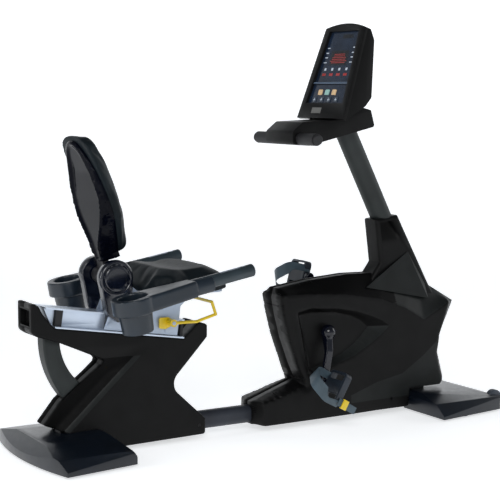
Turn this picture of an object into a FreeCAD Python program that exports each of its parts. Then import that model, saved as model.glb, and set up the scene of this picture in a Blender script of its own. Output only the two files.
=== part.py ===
import FreeCAD, Part
import os
from math import asin, cos, hypot, pi, radians, sin, tan

from FreeCAD import Vector

# Recumbent exercise bike.  Millimetres; +X is the rider's forward, +Y the rider's left, +Z up.
# The origin is on the floor, in the middle of the bike's outline seen from above.

os.makedirs("parts", exist_ok=True)

# ---------------------------------------------------------------- driving dimensions
ARM_REAR = -863.0             # rearmost face of the rear housing's arm
LENGTH_FRONT = 905.0          # foremost bulge of the front foot cover
FLOOR_GAP = 8.0               # thickness of the rubber pads under both feet
WALL = 3.0                    # moulded housing walls
GAP = 0.3                     # space between pieces that only lie beside each other
RUNNING = 0.06                # radial clearance of a shaft in its bearing

CRANK_X = 197.0               # crank axle
CRANK_Z = 316.0
CRANK_LENGTH = 170.0
CRANK_TURN = 12.0             # degrees the right arm has swung rearward from hanging straight down
AXLE_RADIUS = 12.5
BOSS_INNER_Y = 58.0           # crank arms: inner face of the boss, and outer face of the pedal end
BOSS_RADIUS = 26.0
ARM_OUTER_Y = 112.0
PEDAL_INNER_Y = 122.0
PEDAL_WIDTH = 96.0
PEDAL_LENGTH = 104.0
PEDAL_THICK = 24.0
PEDAL_TILT = {"right": 60.0, "left": 75.0}
STRAP_SKEW = 33.0             # degrees the toe strap is turned across its pedal

PULLEY_RADIUS = 95.0          # poly-V drive, crank pulley to flywheel hub
HUB_PULLEY_RADIUS = 22.0
BELT_THICK = 2.6
DRIVE_Y = (-36.0, -20.0)
FLYWHEEL_X = 410.0
FLYWHEEL_Z = 230.0
FLYWHEEL_RADIUS = 118.0
FLYWHEEL_Y = (-14.0, 16.0)

BEAM_HALF = 212.0             # cross beams hidden under both foot covers

RAIL_SLOPE = 9.0              # the seat rail falls towards the front
RAIL_REAR = (-788.0, 410.0)   # lower rear corner of the rail
RAIL_LENGTH = 447.0
RAIL_HEIGHT = 60.0
RAIL_FLANGE = 5.0
RAIL_TOP_HALF = 45.0
RAIL_FOOT_HALF = 58.0
RAIL_WEB_HALF = 26.0

WHEEL_X = 832.0               # transport wheels at the front foot's corners
WHEEL_Z = 44.0
WHEEL_Y = (166.0, 190.0)
WHEEL_RADIUS = 27.0

CARRIAGE_START = 166.0        # carriage side plates: their ends along the rail, and their y
CARRIAGE_END = 424.0
PLATE_Y = (47.5, 51.5)
LEVER_PIVOT = (-400.0, 398.0)
HUB_X = -592.0                # recline pivot
HUB_Z = 552.0
HUB_RADIUS = 55.0
HUB_Y = (53.0, 85.0)
BACK_LEAN = 22.0              # degrees the backrest leans back
BACK_PLANE = 58.0             # the cushion's back lies this far before the recline pivot

CUP_X = -613.0                # middle of the cup ring on each armrest
CUP_Z = 493.0
ARM_Y = 243.0
ARM_SLOPE = 10.0
CUP_RING_RADIUS = 66.0
CUP_BORE = 44.0

MAST_BASE = (594.7, 430.0)    # mast centre line at its lower end
MAST_LEAN = 27.1
MAST_LENGTH = 650.0
MAST_RADIUS = 36.0

FACE_BASE = (203.0, 1034.0)   # lower edge of the console's face
FACE_LEAN = 18.6
FACE_HEIGHT = 320.0
FACE_HALF_LOW = 140.0
FACE_HALF_HIGH = 115.0
OVERLAY_DEPTH = 10.0          # the lens and keypad lie this far below the bezel
KEY_SIZE = (24.0, 19.0)
KEY_ROWS = [("program", 94.0, (52.0, 11.0, -30.0)), ("function", 68.0, (77.0, 34.0, -9.0, -52.0))]


# ---------------------------------------------------------------- shape helpers
def rounded_corner(before, corner, after, radius):
    """Start, middle and end of the arc that rounds one corner."""
    to_before = (before - corner).normalize()
    to_after = (after - corner).normalize()
    half = to_before.getAngle(to_after) / 2
    reach = radius / tan(half)
    bisector = (to_before + to_after).normalize()
    start = corner + to_before * reach
    end = corner + to_after * reach
    middle = corner + bisector * (radius / sin(half) - radius)
    return start, middle, end


def outline(corners, place):
    """Closed wire through (u, v) or (u, v, radius) corners; place turns u, v into a point."""
    points = [place(corner[0], corner[1]) for corner in corners]
    radii = [corner[2] if len(corner) > 2 else 0.0 for corner in corners]
    stops = []
    for index, point in enumerate(points):
        if radii[index] > 0:
            after = points[(index + 1) % len(points)]
            stops.append(rounded_corner(points[index - 1], point, after, radii[index]))
        else:
            stops.append((point, None, point))
    edges = []
    for index, (start, middle, end) in enumerate(stops):
        previous_end = stops[index - 1][2]
        if (start - previous_end).Length > 1e-6:
            edges.append(Part.LineSegment(previous_end, start).toShape())
        if middle is not None:
            edges.append(Part.Arc(start, middle, end).toShape())
    return Part.Wire(Part.__sortEdges__(edges))


def side_wire(corners, y):
    return outline(corners, lambda x, z: Vector(x, y, z))


def side_prism(corners, y_low, y_high):
    """An x-z outline swept from y_low to y_high."""
    return Part.Face(side_wire(corners, y_low)).extrude(Vector(0, y_high - y_low, 0))


def plan_prism(corners, z_low, z_high):
    """An x-y outline swept from z_low to z_high."""
    wire = outline(corners, lambda x, y: Vector(x, y, z_low))
    return Part.Face(wire).extrude(Vector(0, 0, z_high - z_low))


def end_prism(corners, x_low, x_high):
    """A y-z outline swept from x_low to x_high."""
    wire = outline(corners, lambda y, z: Vector(x_low, y, z))
    return Part.Face(wire).extrude(Vector(x_high - x_low, 0, 0))


def block(x_span, y_span, z_span):
    size = (x_span[1] - x_span[0], y_span[1] - y_span[0], z_span[1] - z_span[0])
    return Part.makeBox(size[0], size[1], size[2], Vector(x_span[0], y_span[0], z_span[0]))


def rod_y(x, z, radius, y_low, y_high):
    return Part.makeCylinder(radius, y_high - y_low, Vector(x, y_low, z), Vector(0, 1, 0))


def rod_z(x, y, radius, z_low, z_high):
    return Part.makeCylinder(radius, z_high - z_low, Vector(x, y, z_low))


def rod(start, end, radius):
    return Part.makeCylinder(radius, (end - start).Length, start, end - start)


def mirrored_outline(half):
    """Corners of a shape symmetric in u = 0, from its u > 0 half listed from low v to high v."""
    other = [(-corner[0],) + tuple(corner[1:]) for corner in reversed(half) if corner[0] > 0]
    return list(half) + other


def flip(shape):
    """The same shape on the other side of the middle plane."""
    return shape.mirror(Vector(0, 0, 0), Vector(0, 1, 0))


def fuse(shapes):
    whole = shapes[0]
    for shape in shapes[1:]:
        whole = whole.fuse(shape)
    return whole.removeSplitter()


def both_sides(shape):
    return [shape, flip(shape)]


def turned(shape, degrees_about_y, x, z):
    """Turn a shape built round the origin about +Y, then carry it to x, z."""
    moved = shape.copy()
    moved.rotate(Vector(0, 0, 0), Vector(0, 1, 0), degrees_about_y)
    moved.translate(Vector(x, 0, z))
    return moved


def soften(shape, radius, choose):
    """Round the edges that choose accepts, and keep the sharp shape where that fails."""
    edges = [edge for edge in shape.Edges if choose(edge)]
    try:
        rounded = shape.makeFillet(radius, edges)
    except Part.OCCError:
        return shape
    return rounded if rounded.isValid() and rounded.Volume > 0 else shape


def halves(outer, cavity, y_limit):
    """Right and left moulded shells of one housing, parted at the middle plane."""
    shell = outer.cut(cavity)
    box = shell.BoundBox
    right = shell.common(block((box.XMin - 1, box.XMax + 1), (-y_limit, 0), (box.ZMin - 1, box.ZMax + 1)))
    left = shell.common(block((box.XMin - 1, box.XMax + 1), (0, y_limit), (box.ZMin - 1, box.ZMax + 1)))
    return right, left


def export(name, shapes):
    """Write one node; several shapes stay separate solids."""
    solids = []
    for shape in shapes:
        solids.extend(shape.Solids)
    whole = solids[0] if len(solids) == 1 else Part.makeCompound(solids)
    whole.exportStep("parts/" + name + ".step")


# ---------------------------------------------------------------- placement of sloping groups
def rail_point(along, height):
    """World x, z of a place given along the rail and above its foot."""
    slope = radians(RAIL_SLOPE)
    x = RAIL_REAR[0] + along * cos(slope) + height * sin(slope)
    z = RAIL_REAR[1] - along * sin(slope) + height * cos(slope)
    return x, z


def on_rail(shape):
    return turned(shape, RAIL_SLOPE, RAIL_REAR[0], RAIL_REAR[1])


def on_back(shape):
    """Backrest frame: x forward from the cushion's back plane, z up the backrest, 0 at the hub."""
    return turned(shape, -BACK_LEAN, HUB_X, HUB_Z)


def on_arm(shape):
    """Armrest frame: x forward along the arm, z out of its top, 0 in the middle of the cup ring."""
    return turned(shape, -ARM_SLOPE, CUP_X, CUP_Z)


def on_face(shape):
    """Console frame: z up the face, x into the console, 0 at the face's lower edge."""
    return turned(shape, FACE_LEAN, FACE_BASE[0], FACE_BASE[1])


def on_mast(shape):
    return turned(shape, -MAST_LEAN, MAST_BASE[0], MAST_BASE[1])


# ---------------------------------------------------------------- outlines used more than once
REAR_SIDE = [
    (-820, 113, 4), (-736, 86, 10), (-573, 15, 25), (-268, 20, 8), (-268, 72, 8), (-398, 194, 42),
    (-260, 338, 8), (-260, 379, 8), (-291, 389, 8), (-327, 355, 4), (-345, 339.3, 3),
    (-788, 409.5, 4), (-824, 454, 12), (-837, 480, 8), (-850, 488, 6), (ARM_REAR, 489, 5),
    (ARM_REAR, 400, 16), (-844, 387, 8), (-772, 363, 10), (-612, 291, 10), (-697, 227, 30),
    (-761, 177, 20)]
REAR_HALF = 55.0

# Front housing: each corner of the flat side face (x, z) and the matching corner of the crown.
FRONT_PAIRS = [
    ((-60, 22), (-76, 22)), ((545, 22), (545, 22)), ((545, 86), (545, 86)), ((690, 86), (722, 86)),
    ((684, 119), (720, 112)), ((662, 200), (697, 196)), ((668, 265), (703, 256)),
    ((712, 383), (763, 378)), ((599, 327), (648, 444)), ((518, 374), (560, 474)),
    ((411, 414), (440, 498)), ((266, 439), (303, 501)), ((105, 451), (150, 490)),
    ((12, 452), (22, 472)), ((14, 440), (14, 440)), ((23, 389), (23, 389)), ((46, 303), (46, 303)),
    ((79, 215), (79, 215)), ((104, 142), (104, 160)), ((-60, 100), (-78, 98))]
FRONT_HALF = 75.0
CROWN_HALF = 24.0
POCKET_RIM = [(72, 392, 10), (239, 390, 60), (349, 362, 60), (449, 319), (371, 272, 60),
              (234, 220, 60), (118, 170, 12)]
POCKET_FLOOR = [(90, 380, 8), (228, 378, 60), (310, 350, 50), (372, 317), (325, 275, 50),
                (196, 224, 50), (132, 192, 10)]
POCKET_DEPTH = 24.0

# Backrest seen from the front: half width, height above the hub and corner radius.
BACK_OUTLINE = [(0, 54, 0), (34, 56, 30), (104, 172, 50), (114, 236, 150), (108, 356, 200),
                (98, 418, 30), (58, 440, 50), (0, 446, 0)]
SHELL_OUTLINE = [(0, 44, 0), (30, 44, 8), (32, 100, 40), (56, 144, 60), (92, 196, 60), (108, 246, 60),
                 (80, 330, 100), (44, 404, 30), (20, 424, 16), (0, 427, 0)]


def foot_plan(inner_x, corner_x, outer_x, half_inner, half_outer, z_low, z_high):
    """Plan of a foot cover: straight inner edge, slanting ends, outer edge bulging in one arc."""
    corners = [(corner_x, -half_outer), (inner_x, -half_inner),
               (inner_x, half_inner), (corner_x, half_outer)]
    points = [Vector(x, y, z_low) for x, y in corners]
    edges = [Part.LineSegment(points[index], points[index + 1]).toShape() for index in range(3)]
    edges.append(Part.Arc(points[3], Vector(outer_x, 0, z_low), points[0]).toShape())
    return Part.Face(Part.Wire(edges)).extrude(Vector(0, 0, z_high - z_low))


def roofed(plan, x_profile, y_profile):
    """A foot's plan cut by a roof line seen from the side and one seen from the end."""
    solid = plan.common(side_prism(x_profile, -320, 320))
    return solid.common(end_prism(y_profile, -950, 950))


# ---------------------------------------------------------------- rear base
def make_rear_base():
    plan = foot_plan(-606, -848, -886, 246, 281, FLOOR_GAP, 110)
    roof_x = [(-895, 0), (-893, 26), (-846, 74, 30), (-640, 84, 30), (-601, 24), (-600, 0)]
    roof_y = mirrored_outline([(0, 0), (284, 0), (283, 20), (238, 50, 20), (60, 82, 90)])
    cover = roofed(plan, roof_x, roof_y)
    inner_plan = foot_plan(-612, -843, -881, 240, 274, FLOOR_GAP - 1, 110)
    inner_x = [(-889, -1), (-887, 24), (-843, 70), (-644, 80), (-607, 20), (-606, -1)]
    inner_y = mirrored_outline([(0, -1), (278, -1), (277, 17), (235, 46), (60, 78)])
    hollow = roofed(inner_plan, inner_x, inner_y)
    post_hole = block((-766, -716), (-28, 28), (50, 120))

    beam = block((-780, -712), (-BEAM_HALF, BEAM_HALF), (14, 46))
    beam = beam.cut(block((-776, -716), (4 - BEAM_HALF, BEAM_HALF - 4), (18, 42)))
    post = block((-760, -722), (-22, 22), (44, 112))
    leg = side_prism([(-760, 104), (-722, 96), (-462, 196), (-470, 236)], -22, 22)
    column = side_prism([(-520, 40), (-470, 40), (-405, 330), (-455, 330)], -22, 22)
    lower = block((-560, -300.2), (-24, 24), (31, 77))
    bed_low, bed_high = -20.5, -GAP
    bed = on_rail(side_prism([(12, bed_low), (430, bed_low), (430, bed_high), (12, bed_high)], -20, 20))
    frame = fuse([beam, post, leg, column, lower, bed])

    cavity = side_prism(inset_rear_side(), -REAR_HALF + WALL, REAR_HALF - WALL)
    outer = side_prism(REAR_SIDE, -REAR_HALF, REAR_HALF)
    outer = soften(outer, 5.0, lambda edge: abs(abs(edge.CenterOfMass.y) - REAR_HALF) < 0.01)
    tube_hole = end_prism([(-26, 24), (26, 24), (26, 86), (-26, 86)], -300, -260)
    end_hole = block((ARM_REAR - 1, ARM_REAR + 25), (-44, 44), (412, 473))
    bed_hole = on_rail(block((8, 434), (-22, 22), (-12, 1)))
    shell_cut = fuse([cavity, end_hole, post_hole])
    right, left = halves(outer, shell_cut, 60)
    screws = []
    for x, z in ((-593, 45), (-281 - 8, 51)):
        hole = rod_y(x, z, 2.8, -60, 60).fuse(rod_y(x, z, 5.4, -60, -53)).fuse(rod_y(x, z, 5.4, 53, 60))
        right = right.cut(hole)
        left = left.cut(hole)
        screws += both_sides(rod_y(x, z, 5.0, -54.4, -53.02).fuse(rod_y(x, z, 2.5, -53.5, -44)))
    right = right.cut(tube_hole).cut(bed_hole)
    left = left.cut(tube_hole).cut(bed_hole)

    strut_face = Part.Face(Part.Wire(Part.__sortEdges__([
        Part.Arc(Vector(-812, 0, 392), Vector(-800, 0, 282), Vector(-716, 0, 150)).toShape(),
        Part.LineSegment(Vector(-716, 0, 150), Vector(-660, 0, 205)).toShape(),
        Part.Arc(Vector(-660, 0, 205), Vector(-741, 0, 292), Vector(-757, 0, 392)).toShape(),
        Part.LineSegment(Vector(-757, 0, 392), Vector(-812, 0, 392)).toShape()])))
    strut = strut_face.extrude(Vector(0, 50, 0))
    strut.translate(Vector(0, -25, 0))
    strut = soften(strut, 6.0, lambda edge: abs(abs(edge.CenterOfMass.y) - 25) < 0.01)
    strut = strut.cut(side_prism(REAR_SIDE, -REAR_HALF, REAR_HALF))
    strut = max(strut.Solids, key=lambda solid: solid.Volume)

    cap = block((ARM_REAR + 1.5, ARM_REAR + 24.7), (-43.7, 43.7), (412.3, 472.7))
    cap = cap.cut(block((ARM_REAR - 1, ARM_REAR + 21), (-38, 38), (418, 467)))

    cover = cover.cut(hollow).cut(post_hole)
    cover = cover.cut(side_prism(REAR_SIDE, -REAR_HALF - GAP, REAR_HALF + GAP))
    export("rear_foot_cover", [max(cover.Solids, key=lambda solid: solid.Volume)])
    export("rear_frame", [frame])
    export("rear_housing_right", [max(right.Solids, key=lambda solid: solid.Volume)])
    export("rear_housing_left", [max(left.Solids, key=lambda solid: solid.Volume)])
    export("rear_end_cap", [cap])
    export("rear_strut", [strut])
    return screws


def inset_rear_side():
    """Inner wall line of the rear housing."""
    face = Part.Face(side_wire([corner[:2] for corner in REAR_SIDE], 0))
    inner = face.makeOffset2D(-WALL)
    return [(vertex.Point.x, vertex.Point.z) for vertex in inner.OuterWire.OrderedVertexes]


def make_rail():
    flange = RAIL_FLANGE
    long_box = (0, RAIL_LENGTH)
    foot = block(long_box, (-RAIL_FOOT_HALF, RAIL_FOOT_HALF), (0, flange))
    top = block(long_box, (-RAIL_TOP_HALF, RAIL_TOP_HALF), (RAIL_HEIGHT - flange, RAIL_HEIGHT))
    web = block(long_box, (-RAIL_WEB_HALF, RAIL_WEB_HALF), (flange, RAIL_HEIGHT - flange))
    bore_half = RAIL_WEB_HALF - 4
    bore = block((-1, RAIL_LENGTH + 1), (-bore_half, bore_half), (flange, RAIL_HEIGHT - flange))
    rear_slant = side_prism([(-60, -10), (9, -10), (-41, 70), (-60, 70)], -70, 70)
    top_back = block((-42, 0.5), (-RAIL_TOP_HALF, RAIL_TOP_HALF), (RAIL_HEIGHT - flange, RAIL_HEIGHT))
    mid_back = block((-42, 0.5), (-RAIL_WEB_HALF, RAIL_WEB_HALF), (flange, RAIL_HEIGHT - flange))
    rail = fuse([foot, top, web, top_back, mid_back]).cut(bore).cut(rear_slant)
    for y in (-14, 14):
        rail = rail.cut(rod_z(-22 if y < 0 else -12, y, 3.2, RAIL_HEIGHT - 8, RAIL_HEIGHT + 1))
    export("seat_rail", [on_rail(rail)])

    stops = []
    near_web, near_edge = RAIL_WEB_HALF + 0.2, RAIL_TOP_HALF - 1
    for y_low, y_high in ((-near_edge, -near_web), (near_web, near_edge)):
        stops.append(on_rail(block((4, 26), (y_low, y_high), (flange + 0.2, RAIL_HEIGHT - flange - 0.2))))
        stops.append(on_rail(block((437, 446), (y_low, y_high), (flange + 0.2, RAIL_HEIGHT - flange - 0.2))))
    export("rail_end_stops", stops)


def make_main_tube():
    section = [(-24, 25, 22), (24, 25, 22), (24, 85, 22), (-24, 85, 22)]
    bore = [(-20.5, 28.5, 18.5), (20.5, 28.5, 18.5), (20.5, 81.5, 18.5), (-20.5, 81.5, 18.5)]
    tube = end_prism(section, -300, -62).cut(end_prism(bore, -301, -61))
    export("main_tube", [tube])


# ---------------------------------------------------------------- front base
def ruled_half(side_y, crown_y):
    side = side_wire([pair[0] for pair in FRONT_PAIRS], side_y)
    crown = side_wire([pair[1] for pair in FRONT_PAIRS], crown_y)
    return Part.makeLoft([side, crown], True, True)


def front_outer():
    """The front housing as one full solid, before it is hollowed and parted."""
    middle = side_prism([pair[1] for pair in FRONT_PAIRS], -CROWN_HALF, CROWN_HALF)
    right = ruled_half(-FRONT_HALF, -CROWN_HALF)
    return middle.fuse(right).fuse(flip(right))


def crank_pocket(grow, depth):
    """The shield-shaped recess round the crank on the right side, as a solid to cut away."""
    rim = [(x, z) for x, z, *rest in POCKET_RIM]
    floor = [(x, z) for x, z, *rest in POCKET_FLOOR]
    mid_x = sum(x for x, z in rim) / len(rim)
    mid_z = sum(z for x, z in rim) / len(rim)

    def grown(points):
        longest = max(hypot(x - mid_x, z - mid_z) for x, z in points)
        scale = 1 + grow / longest * 2
        return [(mid_x + (x - mid_x) * scale, mid_z + (z - mid_z) * scale) for x, z in points]
    rim_wire = side_wire(grown(rim), -FRONT_HALF - 0.5)
    floor_wire = side_wire(grown(floor), -FRONT_HALF + depth)
    return Part.makeLoft([rim_wire, floor_wire], True, True)


def mast_rod(radius, start, end):
    return on_mast(Part.makeCylinder(radius, end - start, Vector(0, 0, start)))


def make_front_base():
    outer = front_outer()
    cavity_corners = [
        (-80, 29), (540, 29), (540, 92), (684, 92), (677, 117), (654, 200), (661, 268), (696, 366),
        (600, 318), (514, 366), (408, 406), (266, 431), (105, 443), (22, 440), (29, 389), (53, 303),
        (86, 215), (112, 136), (-80, 84)]
    cavity = side_prism(cavity_corners, -FRONT_HALF + WALL + 0.5, FRONT_HALF - WALL - 0.5)
    for pocket in both_sides(crank_pocket(5.0, POCKET_DEPTH + WALL + 0.5)):
        cavity = cavity.cut(pocket)
    body = outer.cut(fuse(both_sides(crank_pocket(0.0, POCKET_DEPTH))))
    mast_hole = mast_rod(MAST_RADIUS + 0.6, -60, 300)
    axle_hole = rod_y(CRANK_X, CRANK_Z, 16, -80, 80)
    beam_hole = block((520, 720), (-32, 32), (24, 110)).fuse(block((568, 626), (-26, 26), (300, 410)))
    mouth = end_prism([(-25, 24), (25, 24), (25, 86), (-25, 86)], -80, -58)
    right, left = halves(body, fuse([cavity, mouth, mast_hole, axle_hole, beam_hole]), 80)
    socket_hole = block((604.5, 635.5), (60, 80), (123.5, 148.5))
    left = left.cut(socket_hole)
    screw_x, screw_z = 469, 56
    for hole in (rod_y(screw_x, screw_z, 2.8, -80, 80), rod_y(screw_x, screw_z, 5.4, -80, -72.9),
                 rod_y(screw_x, screw_z, 5.4, 72.9, 80)):
        right = right.cut(hole)
        left = left.cut(hole)
    screw = rod_y(screw_x, screw_z, 5.0, -74.4, -73).fuse(rod_y(screw_x, screw_z, 2.5, -73.5, -62))
    screws = both_sides(screw)
    export("front_housing_right", [max(right.Solids, key=lambda solid: solid.Volume)])
    export("front_housing_left", [max(left.Solids, key=lambda solid: solid.Volume)])

    boot_side = [(390, 476), (434, 534, 8), (414, 684, 3), (508, 697, 3), (585, 556), (648, 444),
                 (690, 382), (640, 330)]
    boot = side_prism(boot_side, -41, 41)
    boot = soften(boot, 14.0, lambda edge: edge.BoundBox.YLength < 0.1 and edge.BoundBox.ZMin > 520
                  and edge.BoundBox.XMax < 440 and edge.BoundBox.ZLength > 60)
    boot = boot.cut(outer).cut(mast_rod(MAST_RADIUS + 0.4, -60, 330))
    export("mast_boot", [max(boot.Solids, key=lambda solid: solid.Volume)])
    return screws


def make_front_frame():
    base = block((-60, 640), (-24, 24), (30, 78)).cut(block((-56, 636), (-20, 20), (34, 74)))
    shell = rod_y(CRANK_X, CRANK_Z, 26, -14, 44).cut(rod_y(CRANK_X, CRANK_Z, 20.02, -15, 45))
    strut_side = [(CRANK_X - 72, 76), (CRANK_X + 38, 76), (CRANK_X + 22, CRANK_Z), (CRANK_X - 22, CRANK_Z)]
    strut = side_prism(strut_side, 22, 34)
    strut = strut.cut(rod_y(CRANK_X, CRANK_Z, 24, 10, 40))
    fork = side_prism([(370, 76), (450, 76), (424, FLYWHEEL_Z + 14), (396, FLYWHEEL_Z + 14)], 22, 34)
    dead_axle = rod_y(FLYWHEEL_X, FLYWHEEL_Z, 8, -40, 34)
    post = block((572, 622), (-22, 22), (78, 404)).cut(block((576, 618), (-18, 18), (80, 400)))
    spigot = mast_rod(MAST_RADIUS - 3.4, -40, 70).common(block((450, 720), (-60, 60), (402, 560)))
    beam = block((640, 706), (-BEAM_HALF, BEAM_HALF), (14, 46))
    beam = beam.cut(block((644, 702), (4 - BEAM_HALF, BEAM_HALF - 4), (18, 42)))
    shoe = block((600, 650), (-24, 24), (24, 46))
    inner_y, outer_y = WHEEL_Y
    arms = fuse([
        block((700, 846), (inner_y - 7, inner_y - 1.5), (24, 50)),
        block((700, 846), (outer_y + 1.5, outer_y + 7), (24, 50)),
        rod_y(WHEEL_X, WHEEL_Z, 5, inner_y - 7, outer_y + 7)])
    frame = fuse([base, shell, strut, fork, dead_axle, post, spigot, beam, shoe] + both_sides(arms))
    export("front_frame", [frame])

    ring = rod_y(CRANK_X, CRANK_Z, 20, -12, 0).cut(rod_y(CRANK_X, CRANK_Z, AXLE_RADIUS + RUNNING, -13, 1))
    second = ring.copy()
    second.translate(Vector(0, 42, 0))
    export("crank_bearings", [ring, second])


def make_front_foot():
    plan = foot_plan(550, 830, LENGTH_FRONT, 258, 219, FLOOR_GAP, 110)
    roof_x = [(545, 0), (546, 52), (566, 74, 12), (790, 64, 60), (905, 30), (912, 0)]
    roof_y = mirrored_outline([(0, 0), (262, 0), (261, 16), (214, 54, 16), (70, 82, 90)])
    cover = roofed(plan, roof_x, roof_y)
    inner_plan = foot_plan(554, 826, LENGTH_FRONT - 5, 252, 212, FLOOR_GAP - 1, 110)
    inner_x = [(545, -1), (550, 49), (568, 69), (790, 60), (900, 27), (907, -1)]
    inner_y = mirrored_outline([(0, -1), (255, -1), (254, 14), (211, 50), (70, 78)])
    cover = cover.cut(roofed(inner_plan, inner_x, inner_y))
    notch = block((WHEEL_X - 32, 920), (WHEEL_Y[0] - 9, WHEEL_Y[1] + 9), (0, 90))
    for opening in both_sides(notch):
        cover = cover.cut(opening)
    cover = cover.cut(block((540, 640), (-28, 28), (0, 84)))
    cover = cover.cut(side_prism([pair[1] for pair in FRONT_PAIRS], -FRONT_HALF - 1, FRONT_HALF + 1))
    export("front_foot_cover", [max(cover.Solids, key=lambda solid: solid.Volume)])

    for name, low, high in (("right", -WHEEL_Y[1], -WHEEL_Y[0]), ("left", WHEEL_Y[0], WHEEL_Y[1])):
        bore = rod_y(WHEEL_X, WHEEL_Z, 5.06, low - 1, high + 1)
        wheel = rod_y(WHEEL_X, WHEEL_Z, WHEEL_RADIUS, low, high).cut(bore)
        wheel = soften(wheel, 3.0, lambda edge: edge.BoundBox.XLength > 50)
        export("transport_wheel_" + name, [wheel])

    pads = []
    for x in (-746, 673):
        for y in (-196, 196):
            pads.append(rod_z(x, y, 24, 0, FLOOR_GAP - 2).fuse(rod_z(x, y, 9, FLOOR_GAP - 2, 13.8)))
    export("foot_pads", pads)


def loop(radius_a, radius_b, y_low, y_high):
    """Solid inside a belt line round the crank pulley (a) and the flywheel hub pulley (b)."""
    a = Vector(CRANK_X, y_low, CRANK_Z)
    b = Vector(FLYWHEEL_X, y_low, FLYWHEEL_Z)
    span = b - a
    reach = hypot(span.x, span.z)
    along = Vector(span.x / reach, 0, span.z / reach)
    across = Vector(-along.z, 0, along.x)
    lean = asin((radius_a - radius_b) / reach)
    high = along * sin(lean) + across * cos(lean)
    low = along * sin(lean) - across * cos(lean)
    edges = [
        Part.LineSegment(a + high * radius_a, b + high * radius_b).toShape(),
        Part.Arc(b + high * radius_b, b + along * radius_b, b + low * radius_b).toShape(),
        Part.LineSegment(b + low * radius_b, a + low * radius_a).toShape(),
        Part.Arc(a + low * radius_a, a - along * radius_a, a + high * radius_a).toShape()]
    return Part.Face(Part.Wire(edges)).extrude(Vector(0, y_high - y_low, 0))


def make_drive():
    y_low, y_high = DRIVE_Y
    axle = rod_y(CRANK_X, CRANK_Z, AXLE_RADIUS, -BOSS_INNER_Y + 0.1, BOSS_INNER_Y - 0.1)
    export("crank_axle", [axle])

    pulley = rod_y(CRANK_X, CRANK_Z, PULLEY_RADIUS, y_low, y_high)
    pulley = pulley.cut(rod_y(CRANK_X, CRANK_Z, AXLE_RADIUS + 0.02, y_low - 1, y_high + 1))
    for turn in range(5):
        angle = 2 * pi * turn / 5
        x = CRANK_X + 56 * cos(angle)
        z = CRANK_Z + 56 * sin(angle)
        pulley = pulley.cut(rod_y(x, z, 20, y_low - 1, y_high + 1))
    export("drive_pulley", [pulley])

    skin = GAP + BELT_THICK
    belt = loop(PULLEY_RADIUS + skin, HUB_PULLEY_RADIUS + skin, y_low + 1, y_high - 1)
    belt = belt.cut(loop(PULLEY_RADIUS + GAP, HUB_PULLEY_RADIUS + GAP, y_low, y_high))
    export("drive_belt", [belt])

    wheel = rod_y(FLYWHEEL_X, FLYWHEEL_Z, FLYWHEEL_RADIUS, FLYWHEEL_Y[0], FLYWHEEL_Y[1])
    groove = rod_y(FLYWHEEL_X, FLYWHEEL_Z, 92, 6, 17).cut(rod_y(FLYWHEEL_X, FLYWHEEL_Z, 34, 5, 18))
    wheel = wheel.cut(groove)
    wheel = wheel.fuse(rod_y(FLYWHEEL_X, FLYWHEEL_Z, HUB_PULLEY_RADIUS, y_low, FLYWHEEL_Y[0]))
    wheel = wheel.cut(rod_y(FLYWHEEL_X, FLYWHEEL_Z, 8 + RUNNING, y_low - 1, 20))
    export("flywheel", [wheel])

    magnet = rod_y(FLYWHEEL_X, FLYWHEEL_Z, 142, -12, 14).cut(rod_y(FLYWHEEL_X, FLYWHEEL_Z, 122, -13, 15))
    wedge = side_prism([(FLYWHEEL_X, FLYWHEEL_Z), (FLYWHEEL_X - 60, FLYWHEEL_Z + 190),
                        (FLYWHEEL_X + 110, FLYWHEEL_Z + 190)], -20, 20)
    magnet = magnet.common(wedge)
    bracket = side_prism([(FLYWHEEL_X - 14, FLYWHEEL_Z + 15), (FLYWHEEL_X + 14, FLYWHEEL_Z + 15),
                          (FLYWHEEL_X + 20, FLYWHEEL_Z + 136), (FLYWHEEL_X - 10, FLYWHEEL_Z + 136)], 22, 30)
    tie = side_prism([(FLYWHEEL_X - 8, FLYWHEEL_Z + 124), (FLYWHEEL_X + 18, FLYWHEEL_Z + 124),
                      (FLYWHEEL_X + 18, FLYWHEEL_Z + 136), (FLYWHEEL_X - 8, FLYWHEEL_Z + 136)], 10, 24)
    export("brake_magnet", [fuse([magnet, bracket, tie])])

    for name, side, down in (("right", -1, -1), ("left", 1, 1)):
        make_crank_side(name, side, down)
    spindles = []
    for side, down in ((-1, -1), (1, 1)):
        x, z = crank_end(down)
        inner, outer = ARM_OUTER_Y + 0.1, PEDAL_INNER_Y + PEDAL_WIDTH - 4
        low, high = sorted((side * inner, side * outer))
        collar_low, collar_high = sorted((side * inner, side * (PEDAL_INNER_Y - 1)))
        spindles.append(rod_y(x, z, 6, low, high).fuse(rod_y(x, z, 9, collar_low, collar_high)))
    export("pedal_spindles", spindles)


def crank_end(down):
    """World x, z of a pedal spindle; down is -1 for the arm that hangs, 1 for the one that stands."""
    turn = radians(CRANK_TURN)
    return CRANK_X + down * CRANK_LENGTH * sin(turn), CRANK_Z + down * CRANK_LENGTH * cos(turn)


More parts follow.
